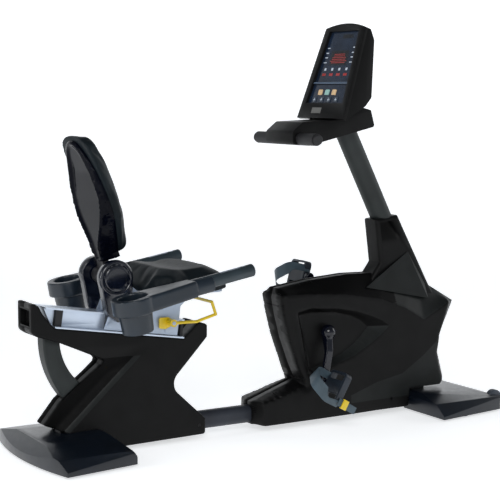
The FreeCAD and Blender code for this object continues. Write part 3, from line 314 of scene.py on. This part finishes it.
def spread_along(line, step, closed=False):
    """Points along a polyline, at most step apart."""
    stops = list(line) + ([line[0]] if closed else [])
    points = []
    for (u0, v0), (u1, v1) in zip(stops[:-1], stops[1:]):
        count = max(1, int(np.ceil(hypot(u1 - u0, v1 - v0) / step)))
        points += [(u0 + (u1 - u0) * part / count, v0 + (v1 - v0) * part / count) for part in range(count)]
    return points if closed else points + [stops[-1]]


def inset_ring(loop, depth):
    """The loop's points moved inward by depth, without those that come too near another side."""
    here = np.array(loop)
    along = np.roll(here, -1, 0) - np.roll(here, 1, 0)
    along /= np.maximum(np.linalg.norm(along, axis=1), 1e-9)[:, None]
    ring = here + depth * np.stack([-along[:, 1], along[:, 0]], 1) * winding(loop)
    keep = inside(ring, loop) & (distance_to_line(ring, loop, True) > depth * 0.85)
    return ring[keep]


def winding(loop):
    """1 for a loop that runs counter-clockwise, -1 for the other way."""
    area = sum(u0 * v1 - u1 * v0 for (u0, v0), (u1, v1) in zip(loop, list(loop[1:]) + [loop[0]]))
    return 1.0 if area > 0 else -1.0


class KeepAway:
    """Finds points that lie far enough from a set of fixed ones."""

    def __init__(self, points):
        self.tree = KDTree(len(points))
        for index, (u, v) in enumerate(points):
            self.tree.insert((u, v, 0), index)
        self.tree.balance()

    def far(self, points, reach):
        return np.array([self.tree.find((u, v, 0))[2] > reach for u, v in points])


def crease_edges(points, edges, crease, loop, step):
    """Add the stretches of a crease that run inside the loop to a list of points and edges."""
    stops = spread_along(crease, step)
    spots = np.array(stops)
    keep = inside(spots, loop) & (distance_to_line(spots, loop, True) > 1.0)
    previous = None
    for stop, kept in zip(stops, keep):
        if kept:
            points.append(stop)
            if previous is not None:
                edges.append((previous, len(points) - 1))
        previous = len(points) - 1 if kept else None


def lay_out(loop, creases, holes, step, lip):
    """Flat points, triangles and rim indices that fill a loop, with creases and holes kept as edges."""
    points, edges = [], []
    for ring in [loop] + holes:
        first = len(points)
        points += ring
        edges += [(first + index, first + (index + 1) % len(ring)) for index in range(len(ring))]
    for crease in creases:
        crease_edges(points, edges, crease, loop, step)
    fixed = np.array(points)
    low, high = fixed.min(0), fixed.max(0)
    grid = np.stack(np.meshgrid(np.arange(low[0] + step / 2, high[0], step),
                                np.arange(low[1] + step / 2, high[1], step)), -1).reshape(-1, 2)
    grid = grid[inside(grid, loop)]
    grid = grid[KeepAway(fixed).far(grid, step * 0.45)]
    rings = [inset_ring(loop, lip * part) for part in (0.12, 0.45, 1.0)]
    every = [Vector(point) for point in np.concatenate([fixed] + rings + [grid])]
    flat, _, triangles, sources, _, _ = delaunay_2d_cdt(every, edges, [], 0, 1e-4)
    flat = np.array([tuple(point) for point in flat])
    middles = np.array([flat[list(triangle)].mean(0) for triangle in triangles])
    wanted = inside(middles, loop)
    for hole in holes:
        wanted &= ~inside(middles, hole)
    triangles = [tuple(triangle) for triangle, kept in zip(triangles, wanted) if kept]
    place_of = {source: index for index, found in enumerate(sources) for source in found}
    rim = [place_of[index] for index in range(len(loop))]
    if winding(loop) < 0:
        rim.reverse()
    return flat, triangles, rim


def evened(heights, triangles, passes):
    """Heights averaged with their neighbours' a few times."""
    pairs = np.array([(triangle[k], triangle[(k + 1) % 3]) for triangle in triangles for k in range(3)])
    counts = np.maximum(np.bincount(pairs.ravel(), minlength=len(heights)), 1)
    for _ in range(passes):
        total = np.zeros(len(heights))
        np.add.at(total, pairs[:, 0], heights[pairs[:, 1]])
        np.add.at(total, pairs[:, 1], heights[pairs[:, 0]])
        heights = 0.5 * heights + 0.5 * total / counts
    return heights


def rounded_drop(distance, radius):
    """How far a surface falls away near an edge that is rounded to a radius."""
    near = np.minimum(distance, radius)
    return radius - np.sqrt(np.maximum(radius ** 2 - (radius - near) ** 2, 0))


def relief(name, outline, height, place, creases=(), holes=(), step=6.0, lip=2.5, passes=2, closed=False,
           sharp=32):
    """A moulded skin: height(points) raised over an outline, with a rounded lip and walls to its base."""
    loop = spread_along(outline, step, True)
    hole_loops = [spread_along(hole, step, True) for hole in holes]
    flat, faces, rim = lay_out(loop, creases, hole_loops, step, lip)
    heights = evened(height(flat), faces, passes)
    heights -= rounded_drop(distance_to_line(flat, loop, True), lip)

    corners = [place(u, v, h) for (u, v), h in zip(flat, heights)]
    base_start = len(corners)
    corners += [place(flat[index][0], flat[index][1], 0) for index in rim]
    for stop in range(len(rim)):
        following = (stop + 1) % len(rim)
        faces.append((rim[following], rim[stop], base_start + stop, base_start + following))
    if closed:
        faces.append(tuple(base_start + index for index in reversed(range(len(rim)))))
    side_u = place(1, 0, 0) - place(0, 0, 0)
    side_v = place(0, 1, 0) - place(0, 0, 0)
    if side_u.cross(side_v).dot(place(0, 0, 1) - place(0, 0, 0)) < 0:
        faces = [tuple(reversed(face)) for face in faces]
    mesh = bpy.data.meshes.new(name)
    mesh.from_pydata([tuple(corner * MM) for corner in corners], [], faces)
    work = bmesh.new()
    work.from_mesh(mesh)
    loose = [vertex for vertex in work.verts if not vertex.link_faces]
    bmesh.ops.delete(work, geom=loose, context="VERTS")
    work.to_mesh(mesh)
    work.free()
    return finish_mesh(name, mesh, sharp)


# ---------------------------------------------------------------- meshes and modifiers
def smooth(mesh):
    """Shade every face of a mesh smooth."""
    for polygon in mesh.polygons:
        polygon.use_smooth = True


def finish_mesh(name, mesh, sharp):
    """Link a mesh as a smooth-shaded object whose steep edges stay sharp."""
    smooth(mesh)
    mesh.set_sharp_from_angle(angle=radians(sharp))
    made = bpy.data.objects.new(name, mesh)
    bpy.context.scene.collection.objects.link(made)
    return made


def settle(made):
    """Apply every modifier of an object."""
    evaluated = made.evaluated_get(bpy.context.evaluated_depsgraph_get())
    mesh = bpy.data.meshes.new_from_object(evaluated)
    made.modifiers.clear()
    made.data = mesh


def stand_for(made, look, body, *replaced):
    """Dress a piece, let it ride a body and take the place of CAD nodes."""
    dress(made, look)
    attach(made, body)
    if replaced:
        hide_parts(*replaced)
    return made


def copy_of(node):
    """A plain copy of a CAD node's mesh, as an object of its own."""
    mesh = nodes[node].data.copy()
    mesh.materials.clear()
    made = bpy.data.objects.new("look_" + node, mesh)
    bpy.context.scene.collection.objects.link(made)
    return made


MERGE_REACH = 0.00002
FLAT_ANGLE = radians(0.96)
EDGE_ANGLE = radians(30)
SHADE_ANGLE = radians(35)


def refined(node, look, body, radius, segments=3):
    """A CAD node with its edges rounded, for pieces whose faces are mostly plane."""
    made = copy_of(node)
    work = bmesh.new()
    work.from_mesh(made.data)
    bmesh.ops.remove_doubles(work, verts=work.verts, dist=MERGE_REACH)
    bmesh.ops.dissolve_limit(work, angle_limit=FLAT_ANGLE, verts=work.verts, edges=work.edges)
    work.to_mesh(made.data)
    work.free()
    bevel = made.modifiers.new("edges", "BEVEL")
    bevel.width = radius * MM
    bevel.segments = segments
    bevel.limit_method = "ANGLE"
    bevel.angle_limit = EDGE_ANGLE
    settle(made)
    smooth(made.data)
    made.data.set_sharp_from_angle(angle=SHADE_ANGLE)
    return stand_for(made, look, body, node)


def softened(node, look, body, cell, passes):
    """A CAD node cast in one skin, with its inner corners blended as in a moulding."""
    made = copy_of(node)
    cast = made.modifiers.new("cast", "REMESH")
    cast.mode = "VOXEL"
    cast.voxel_size = cell * MM
    cast.use_smooth_shade = True
    blend = made.modifiers.new("blend", "SMOOTH")
    blend.factor = 0.5
    blend.iterations = passes
    settle(made)
    smooth(made.data)
    return stand_for(made, look, body, node)


def tint_part(made, look, chosen):
    """Give the loose parts of a mesh whose middle chosen() accepts a look of their own."""
    made.data.materials.append(MATERIALS[look])
    index = len(made.data.materials) - 1
    work = bmesh.new()
    work.from_mesh(made.data)
    left = set(work.faces)
    while left:
        part, edge = set(), [left.pop()]
        while edge:
            face = edge.pop()
            part.add(face)
            near = {other for corner in face.edges for other in corner.link_faces if other in left}
            left -= near
            edge += list(near)
        corners = [corner.co for face in part for corner in face.verts]
        low = Vector([min(corner[axis] for corner in corners) for axis in range(3)])
        high = Vector([max(corner[axis] for corner in corners) for axis in range(3)])
        if chosen(low, high):
            for face in part:
                face.material_index = index
    work.to_mesh(made.data)
    work.free()


def tint_faces(made, look, chosen):
    """Give the faces whose middle (x, z in millimetres) chosen() accepts a look of their own."""
    made.data.materials.append(MATERIALS[look])
    index = len(made.data.materials) - 1
    middles = np.array([(polygon.center.x / MM, polygon.center.z / MM) for polygon in made.data.polygons])
    for polygon, wanted in zip(made.data.polygons, chosen(middles)):
        if wanted:
            polygon.material_index = index


def lathe(name, profile, centre, side, look, body, count=96):
    """A turned piece on an axis along Y: profile of (radius, distance from the middle plane)."""
    corners, faces = [], []
    for radius, out in profile:
        for step in range(count):
            angle = 2 * pi * step / count
            corners.append((centre[0] + radius * cos(angle), side * out, centre[1] + radius * sin(angle)))
    for ring in range(len(profile) - 1):
        for step in range(count):
            following = (step + 1) % count
            faces.append((ring * count + step, ring * count + following, (ring + 1) * count + following,
                          (ring + 1) * count + step))
    faces.append(tuple(range(count - 1, -1, -1)))
    faces.append(tuple((len(profile) - 1) * count + step for step in range(count)))
    mesh = bpy.data.meshes.new(name)
    mesh.from_pydata([tuple(Vector(corner) * MM) for corner in corners], [], faces)
    work = bmesh.new()
    work.from_mesh(mesh)
    bmesh.ops.recalc_face_normals(work, faces=work.faces)
    work.to_mesh(mesh)
    work.free()
    return stand_for(finish_mesh(name, mesh, 50), look, body)


def box_mesh(spans, matrix=None):
    """Vertices and faces of boxes given as (low x, high x, low y, high y, low z, high z)."""
    corners, faces = [], []
    for x0, x1, y0, y1, z0, z1 in spans:
        first = len(corners)
        corners += [(x, y, z) for x in (x0, x1) for y in (y0, y1) for z in (z0, z1)]
        for face in ((0, 1, 3, 2), (4, 6, 7, 5), (0, 4, 5, 1), (2, 3, 7, 6), (0, 2, 6, 4), (1, 5, 7, 3)):
            faces.append(tuple(first + index for index in face))
    points = [Vector(corner) * MM for corner in corners]
    if matrix is not None:
        points = [matrix @ point for point in points]
    return points, faces


def boxes(name, spans, look, body, matrix=None, round_off=0.0):
    """One piece made of boxes, with its edges rounded if round_off is given."""
    points, faces = box_mesh(spans, matrix)
    mesh = bpy.data.meshes.new(name)
    mesh.from_pydata([tuple(point) for point in points], [], faces)
    made = finish_mesh(name, mesh, 30)
    if round_off:
        bevel = made.modifiers.new("edges", "BEVEL")
        bevel.width = round_off * MM
        bevel.segments = 2
        settle(made)
    return stand_for(made, look, body)


def cut_box(made, spans):
    """Take a box out of a closed piece."""
    points, faces = box_mesh(spans)
    mesh = bpy.data.meshes.new("cutter")
    mesh.from_pydata([tuple(point) for point in points], [], faces)
    cutter = bpy.data.objects.new("cutter", mesh)
    bpy.context.scene.collection.objects.link(cutter)
    taking = made.modifiers.new("cut", "BOOLEAN")
    taking.operation = "DIFFERENCE"
    taking.solver = "EXACT"
    taking.object = cutter
    settle(made)
    bpy.data.objects.remove(cutter, do_unlink=True)


def thickened(made, wall):
    """Give a skin a wall that grows inward."""
    solid = made.modifiers.new("wall", "SOLIDIFY")
    solid.thickness = wall * MM
    solid.offset = -1.0
    settle(made)


def seen_from(side):
    """Place of a relief on the right (side -1) or left (side 1) of the middle plane."""
    return lambda u, v, h: Vector((u, side * h, v))


# ---------------------------------------------------------------- housings
FRONT_RIM_OUT, FRONT_SIDE_OUT = 24.0, 75.0  # the front housing's half widths at its edge and at its side
POCKET_DEPTH = 24.0
TUCK_START, TUCK_LENGTH, TUCK_END = 150.0, 250.0, 690.0  # where the panel under the crease turns inward
TUCK_SLOPE, TUCK_DEPTH = 0.085, 9.0
# where the nose's painted highlight begins and the crown's painted shade ends, and the height that splits the
# pocket's bevel into painted highlight below and painted shade above
NOSE_START = 480.0
POCKET_MIDDLE = 318.0
REAR_OUT = 55.0  # the rear housing's half width
RIDGE_BAND, RIDGE_DROP = 16.0, 0.34  # the band behind the leg's ridge: its width and its fall per millimetre
CHAMFER_BAND, CHAMFER_DROP = 22.0, 0.75  # the steeper band behind that one
RIDGE_TOP, RIDGE_FADE = 335.0, 80.0  # both bands fade out towards this height
BAND_SHIFT = (-11, 12)
CRANK_HOLE = 15.5
WALL = 3.0


def screw_rings(screws):
    """Creases round each screw, so that its sink has a crisp edge."""
    return [circle(u, v, radius) + [(u + radius, v)] for u, v in screws for radius in SINK_RADII]


def screw_sinks(points, screws, depth):
    """Depth of the round sinks that the screws sit in."""
    sunk = np.zeros(len(points))
    for u, v in screws:
        sunk += np.where(np.hypot(points[:, 0] - u, points[:, 1] - v) < sum(SINK_RADII) / 2, depth, 0)
    return sunk


def crease_level(points):
    """Height of the front housing's crease above or below each point."""
    rising = FRONT_CREASE[::-1]
    return np.interp(points[:, 0], [u for u, v in rising], [v for u, v in rising])


def front_height(points):
    raised = FRONT_RIM_OUT + (FRONT_SIDE_OUT - FRONT_RIM_OUT) * slope_between(points, FRONT_CROWN, FRONT_SIDE)
    raised -= POCKET_DEPTH * slope_between(points, POCKET_RIM, POCKET_FLOOR)
    under = np.maximum(crease_level(points) - points[:, 1], 0)
    under = under * np.clip((points[:, 0] - TUCK_START) / TUCK_LENGTH, 0, 1)
    under = np.where(points[:, 0] < TUCK_END, under, 0)
    raised -= np.minimum(TUCK_SLOPE * under, TUCK_DEPTH)
    raised -= rounded_drop(distance_to_line(points, REAR_EDGE), REAR_ROUND)
    return raised - screw_sinks(points, FRONT_SCREWS, 2.1)


def pocket_bevel(points):
    """Whether each point lies on the slope round the crank's pocket."""
    return inside(points, POCKET_RIM) & ~inside(points, POCKET_FLOOR)


def painted_highlight_front(points):
    """The faces painted lighter as a painted highlight: the pocket's lower bevel, the panel under the crease,
    the nose.
    """
    u, v = points[:, 0], points[:, 1]
    panel = (u > 290) & (v < crease_level(points)) & (v > 60) & inside(points, FRONT_SIDE)
    bevel = pocket_bevel(points) & (v < POCKET_MIDDLE) & (u > 140)
    nose = (u > NOSE_START) & (v > 300) & ~inside(points, FRONT_SIDE)
    return panel | bevel | nose


def painted_shade_front(points):
    """The faces painted darker as painted shade: the crown and the pocket's upper bevel."""
    u, v = points[:, 0], points[:, 1]
    crown = (u < NOSE_START) & (v > 395) & ~inside(points, FRONT_SIDE)
    return crown | (pocket_bevel(points) & (v >= POCKET_MIDDLE))


def make_front_housing():
    creases = [FRONT_CREASE] + screw_rings(FRONT_SCREWS)
    creases += [line + [line[0]] for line in (FRONT_SIDE, POCKET_RIM, POCKET_FLOOR)]
    for name, side in SIDES:
        node = "front_housing_" + name
        holes = [circle(CRANK.x / MM, CRANK.z / MM, CRANK_HOLE)] + ([SOCKET_HOLE] if side > 0 else [])
        skin = relief("look_" + node, FRONT_CROWN, front_height, seen_from(side), creases, holes, lip=2.0)
        thickened(skin, WALL)
        stand_for(skin, "housing", "frame", node)
        # painted highlight and painted shade: lighter and darker copies of the housing plastic on chosen
        # faces
        tint_faces(skin, "housing painted highlight", painted_highlight_front)
        tint_faces(skin, "housing painted shade", painted_shade_front)


def make_gussets():
    """The flat wedge that joins the mast boot to each side of the drive housing."""
    outer = [(547, 43, 567), (360, 60, 455), (627, 60, 399), (624, 40, 453)]
    inner = [(547, 20, 560), (400, 20, 470), (620, 20, 410)]
    for name, side in SIDES:
        wedge = bmesh.new()
        corners = [wedge.verts.new(Vector((x, side * y, z)) * MM) for x, y, z in outer + inner]
        hull = bmesh.ops.convex_hull(wedge, input=corners)
        spare = [item for item in hull["geom_interior"] if isinstance(item, bmesh.types.BMVert)]
        bmesh.ops.delete(wedge, geom=spare, context="VERTS")
        bmesh.ops.recalc_face_normals(wedge, faces=wedge.faces)
        mesh = bpy.data.meshes.new("housing_gusset_" + name)
        wedge.to_mesh(mesh)
        wedge.free()
        # the wedge wears the painted-highlight copy of the housing plastic
        stand_for(finish_mesh("housing_gusset_" + name, mesh, 20), "housing painted highlight", "frame")


def behind_ridge(points):
    """Distance of each point behind the ridge that runs up the rear leg, 0 in front of it."""
    ridge_u = np.interp(points[:, 1], [v for u, v in LEG_RIDGE], [u for u, v in LEG_RIDGE])
    return np.where(points[:, 0] < ridge_u, distance_to_line(points, LEG_RIDGE), 0)


def rear_height(points):
    behind = behind_ridge(points)
    drop = RIDGE_DROP * np.minimum(behind, RIDGE_BAND)
    drop += CHAMFER_DROP * np.clip(behind - RIDGE_BAND, 0, CHAMFER_BAND)
    strength = np.clip((RIDGE_TOP - points[:, 1]) / RIDGE_FADE, 0, 1)
    return REAR_OUT - screw_sinks(points, REAR_SCREWS, 1.4) - drop * strength


def leg_band(points, near, far):
    """The part of the leg that lies from near to far behind its ridge."""
    behind = behind_ridge(points)
    return (behind > 0) & (behind >= near) & (behind < far) & (points[:, 1] < 300)


def make_rear_housing():
    far_ridge = [(u + BAND_SHIFT[0], v + BAND_SHIFT[1]) for u, v in LEG_RIDGE]
    creases = [LEG_RIDGE, far_ridge] + screw_rings(REAR_SCREWS)
    for name, side in SIDES:
        node = "rear_housing_" + name
        skin = relief("look_" + node, rounded(REAR_SIDE), rear_height, seen_from(side), creases, lip=4.0,
                      passes=1)
        thickened(skin, WALL)
        cut_box(skin, [HANDHOLD])
        stand_for(skin, "housing", "frame", node)
        # painted highlight on the band just behind the leg's ridge, painted shade on the band behind that
        tint_faces(skin, "housing painted highlight", lambda points: leg_band(points, 0, RIDGE_BAND))
        tint_faces(skin, "housing painted shade", lambda points: leg_band(points, RIDGE_BAND, 90))


# ---------------------------------------------------------------- backrest
# How far the shell's rim stands in front of the hub, at some heights up the back.
SHELL_UPS = (44, 94, 144, 196, 242, 328, 404, 440)
SHELL_REARS = (-9, -4, 5.5, 16, 26, 41, 47, 48)
SHELL_EDGE = 7.0
PANEL_DEPTH, PANEL_FLOOR = 11.0, 6.0
BEAD_START, BEAD_BLEND = 3.0, 8.0
BEAD_HEIGHT, BEAD_WIDTH = 2.5, 4.0


def shell_height(points):
    """Flanks that climb from the cushion's edge to a beaded teardrop rim, with a recessed panel inside it."""
    tall = BACK_PLANE - np.interp(points[:, 1], SHELL_UPS, SHELL_REARS)
    edge = distance_to_line(points, both_halves(SHELL_HALF), True)
    rim = both_halves(SHELL_RIM_HALF)
    to_rim = distance_to_line(points, rim, True)
    climb = edge / np.maximum(edge + to_rim, 1e-6)
    flank = SHELL_EDGE + (tall - SHELL_EDGE) * climb ** 0.9
    inner = np.clip((to_rim - BEAD_START) / BEAD_BLEND, 0, 1)
    panel = tall - np.minimum(PANEL_DEPTH, tall - PANEL_FLOOR) * inner * inner * (3 - 2 * inner)
    bead = BEAD_HEIGHT * np.exp(-(to_rim / BEAD_WIDTH) ** 2)
    return np.where(inside(points, rim), panel, flank) + bead


def make_shell():
    def place(u, v, h):
        return (ON_BACK @ (Vector((BACK_PLANE - h, u, v)) * MM)) / MM

    rim = both_halves(SHELL_RIM_HALF)
    shell = relief("look_backrest_shell", both_halves(SHELL_HALF), shell_height, place, [rim + [rim[0]]],
                   step=3.5, lip=3.0, passes=5, closed=True, sharp=70)
    stand_for(shell, "shell", "backrest", "backrest_shell")


# ---------------------------------------------------------------- cushions
CLOTH_CELL = 6.0
CLOTH_FRAMES = 20
STUFFING = 4.0
SIDE_SHRINK = 0.985
BACK_BASE, BACK_HALF_WIDTH = 0.0584, 0.114
BACK_MIDDLE, BACK_HALF_HEIGHT = 0.25, 0.20
SEAT_BASE = 0.5037
INTO_BACK = ON_BACK.inverted()


def back_shape(point):
    """Where a point of the plain back pad goes: the pad thins towards its sides and its ends."""
    local = INTO_BACK @ point
    across = local.y / BACK_HALF_WIDTH
    up = (local.z - BACK_MIDDLE) / BACK_HALF_HEIGHT
    local.x = BACK_BASE + (local.x - BACK_BASE) * (0.90 - 0.14 * across * across - 0.10 * up * up)
    local.y *= SIDE_SHRINK
    return ON_BACK @ local


def seat_shape(point):
    """Where a point of the plain seat pad goes: the pad has a shallow saddle and falls away at its front."""
    saddle = 1.0 - 0.16 * exp(-((point.x + 0.375) / 0.06) ** 2)
    front = 1.0 - 0.35 * max(0.0, (point.x + 0.29) / 0.07) ** 2
    height = (point.z - SEAT_BASE) * 0.86 * saddle * max(front, 0.45)
    return Vector((point.x, point.y * SIDE_SHRINK, SEAT_BASE + height))


def back_held(point):
    """Whether a point lies against the shell."""
    return (INTO_BACK @ point).x < 0.066


def seat_held(point):
    """Whether a point lies on the seat pan."""
    return point.z < 0.511


def stuff(pad, held, cap):
    """Blow a pad up as cloth while its held part stays, moving no point by more than cap millimetres."""
    start = [vertex.co.copy() for vertex in pad.data.vertices]
    group = pad.vertex_groups.new(name="held")
    group.add([vertex.index for vertex in pad.data.vertices if held(vertex.co)], 1.0, "REPLACE")
    cloth = pad.modifiers.new("cloth", "CLOTH")
    cloth.settings.vertex_group_mass = "held"
    cloth.settings.use_pressure = True
    cloth.settings.uniform_pressure_force = STUFFING
    cloth.settings.effector_weights.gravity = 0.0
    cloth.settings.quality = 5
    cloth.point_cache.frame_start = 1
    cloth.point_cache.frame_end = CLOTH_FRAMES
    for moment in range(1, CLOTH_FRAMES + 1):
        bpy.context.scene.frame_set(moment)
    settle(pad)
    bpy.context.scene.frame_set(1)
    for vertex, before in zip(pad.data.vertices, start):
        move = vertex.co - before
        if move.length > cap * MM:
            vertex.co = before + move.normalized() * cap * MM


def cushion(node, body, cap, held, shape):
    """A stuffed cushion: the CAD pad recast as cloth, shaped, blown up and evened."""
    pad = copy_of(node)
    cast = pad.modifiers.new("cast", "REMESH")
    cast.mode = "VOXEL"
    cast.voxel_size = CLOTH_CELL * MM
    settle(pad)
    for vertex in pad.data.vertices:
        vertex.co = shape(vertex.co)
    stuff(pad, held, cap)
    even = pad.modifiers.new("even", "SMOOTH")
    even.factor = 0.5
    even.iterations = 6
    finer = pad.modifiers.new("finer", "SUBSURF")
    finer.levels = finer.render_levels = 1
    settle(pad)
    smooth(pad.data)
    stand_for(pad, "vinyl", body, node)


def make_cushions():
    cushion("backrest_cushion", "backrest", 20.0, back_held, back_shape)
    cushion("seat_cushion", "carriage", 18.0, seat_held, seat_shape)


# ---------------------------------------------------------------- console graphics
def on_lens(name, look, tiles, high=0.5):
    """Flat marks on the console's lens: (middle across, middle up, width, height)."""
    spans = [(10 - high, 10.02, y - wide / 2, y + wide / 2, up - tall / 2, up + tall / 2)
             for y, up, wide, tall in tiles]
    boxes(name, spans, look, "frame", ON_FACE)


def make_graphics():
    columns = (-63, -21, 21, 63)
    on_lens("display_field", "display", [(0, 216, 104, 52)], 0.25)
    labels = [(side * 76, up, 16, 3.4) for up in (252, 234, 218, 200) for side in (-1, 1)]
    on_lens("display_labels", "print", labels)
    lamps = [(y, up, 6.2, 2.2) for up in range(199, 230, 6) for y in range(-44, 45, 8)
             if abs(y) < 46 - abs(up - 205) * 0.6]
    on_lens("display_lamps", "lamp", lamps)
    on_lens("display_icons", "print", [(y, 176, 11, 9) for y in columns])
    on_lens("display_digits", "lamp", [(y + shift, 157, 3.4, 9) for y in columns for shift in (-8, -3, 3, 8)])
    lines = [(5.6, 6.1, -106, 106, low, high) for low, high in ((123.5, 125), (127.2, 128.8))]
    boxes("divider_lines", lines, "trim", "frame", ON_FACE)
    boxes("chin_plate", [(-0.8, 0.3, 4, 60, 17, 37)], "plate", "frame", ON_FACE, 0.3)
    on_lens("display_top", "display", [(-20, 292, 60, 14)], 0.3)
    for number, y in enumerate((77, 34, -9, -52), start=1):
        strokes = [(7.8, 8.05, y - half, y + half, low, high)
                   for half, low, high in ((6, 66.8, 69.2), (1.2, 62, 66.8), (1.2, 69.2, 74))]
        boxes(f"key_mark_{number}", strokes, "mark", f"key_function_{number}_body", ON_FACE)


# ---------------------------------------------------------------- stage, lights and camera
SIDE_GLOW = 0.42
TOP_GLOW = 0.16
FLOOR_GLOW = 0.62
FLOOR_REACH, FLOOR_HALF_WIDTH, WALL_TOP, SWEEP = 9.0, 14.0, 7.0, 1.6
VIEW_LINE = Vector((0.510, 0.860, 0.0)).normalized()


def make_stage():
    """A pale floor that sweeps up into a wall behind the bike."""
    sweep_start = FLOOR_REACH - SWEEP
    profile = [(-FLOOR_REACH, 0.0), (sweep_start, 0.0)]
    for step in range(1, 13):
        turn = radians(step * 7.5)
        profile.append((sweep_start + SWEEP * sin(turn), SWEEP - SWEEP * cos(turn)))
    profile.append((FLOOR_REACH, WALL_TOP))
    across = Vector((-VIEW_LINE.y, VIEW_LINE.x, 0.0))
    points = [VIEW_LINE * along + across * side + Vector((0, 0, up))
              for along, up in profile for side in (-FLOOR_HALF_WIDTH, FLOOR_HALF_WIDTH)]
    faces = [(2 * step, 2 * step + 1, 2 * step + 3, 2 * step + 2) for step in range(len(profile) - 1)]
    floor = bpy.data.meshes.new("floor")
    floor.from_pydata(points, [], faces)
    smooth(floor)
    backdrop = bpy.data.objects.new("floor", floor)
    bpy.context.scene.collection.objects.link(backdrop)
    material, _, shader = new_material("backdrop_paper")
    shader.inputs["Base Color"].default_value = (0.92, 0.925, 0.93, 1)
    shader.inputs["Roughness"].default_value = 0.9
    shader.inputs["Specular IOR Level"].default_value = 0.1
    shader.inputs["Emission Color"].default_value = (0.97, 0.985, 1.0, 1)
    shader.inputs["Emission Strength"].default_value = FLOOR_GLOW
    floor.materials.append(material)


def area_light(name, place, target, size, power):
    """A rectangular soft light that faces a target."""
    light = bpy.data.lights.new(name, "AREA")
    light.shape = "RECTANGLE"
    light.size, light.size_y = size
    light.energy = power
    lamp = bpy.data.objects.new(name, light)
    bpy.context.scene.collection.objects.link(lamp)
    lamp.location = place
    lamp.rotation_euler = (Vector(target) - Vector(place)).to_track_quat("-Z", "Y").to_euler()


def make_lights():
    """A sky that is brighter near the horizon, a soft key light and a rim light at each end."""
    world = bpy.data.worlds.new("studio")
    bpy.context.scene.world = world
    world.use_nodes = True
    tree = world.node_tree
    place = tree.nodes.new("ShaderNodeTexCoord")
    parts = tree.nodes.new("ShaderNodeSeparateXYZ")
    fall = tree.nodes.new("ShaderNodeMapRange")
    fall.inputs["From Min"].default_value = 0.05
    fall.inputs["From Max"].default_value = 0.75
    fall.inputs["To Min"].default_value = SIDE_GLOW
    fall.inputs["To Max"].default_value = TOP_GLOW
    tree.links.new(place.outputs["Generated"], parts.inputs["Vector"])
    tree.links.new(parts.outputs["Z"], fall.inputs["Value"])
    tree.links.new(fall.outputs["Result"], tree.nodes["Background"].inputs["Strength"])
    tree.nodes["Background"].inputs["Color"].default_value = (0.90, 0.95, 1.0, 1)
    area_light("key", (-2.6, -4.4, 3.0), (0, 0, 0.4), (2.6, 1.6), 95)
    area_light("rear_rim", (-4.2, -0.1, 1.6), (0, 0, 0.6), (0.3, 2.4), 34)
    area_light("front_rim", (4.0, -1.4, 1.8), (0, 0, 0.7), (0.7, 2.4), 22)


def make_camera():
    lens = bpy.data.cameras.new("camera")
    lens.sensor_width = 36.0
    lens.lens = 102.2
    lens.clip_end = 60.0
    camera = bpy.data.objects.new("camera", lens)
    bpy.context.scene.collection.objects.link(camera)
    camera.location = (-2.442, -4.006, 1.116)
    camera.rotation_euler = (radians(83.71), 0, radians(-30.65))
    bpy.context.scene.camera = camera


# ---------------------------------------------------------------- the bike
EDGE_RADII = (
    ("rear_foot_cover", "foot", 6.0), ("front_foot_cover", "foot", 5.0), ("console_housing", "housing", 5.0),
    ("console_bezel", "housing", 2.0), ("handlebar_tray", "housing", 4.0), ("mast_boot", "housing", 9.0),
    ("rear_strut", "charcoal", 3.0), ("seat_rail", "aluminium", 0.8), ("main_tube", "tube", 0.5))
STRAP_CLIP_SPAN = 0.055

make_front_housing()
make_gussets()
make_rear_housing()
make_shell()
make_cushions()
make_graphics()

for node, look, radius in EDGE_RADII:
    refined(node, look, "frame", radius)
for name, side in SIDES:
    softened("armrest_" + name, "arm", "carriage", 2.6, 5)
    softened("crank_arm_" + name, "crank", "crank", 1.8, 8)
    refined("pedal_" + name, "pedal", name + "_pedal", 1.5)
    strap = refined("pedal_strap_" + name, "strap", name + "_pedal", 0.8, segments=2)
    tint_part(strap, "yellow", lambda low, high: (high - low).length < STRAP_CLIP_SPAN)
    lathe("hub_disc_" + name, HUB_PROFILE, (HUB.x / MM, HUB.z / MM), side, "hub", "carriage")
softened("hub_brackets", "hub", "carriage", 2.2, 4)
refined("carriage_frame", "silver", "carriage", 0.8)

make_stage()
make_lights()
make_camera()
bpy.context.scene.view_settings.view_transform = "Standard"
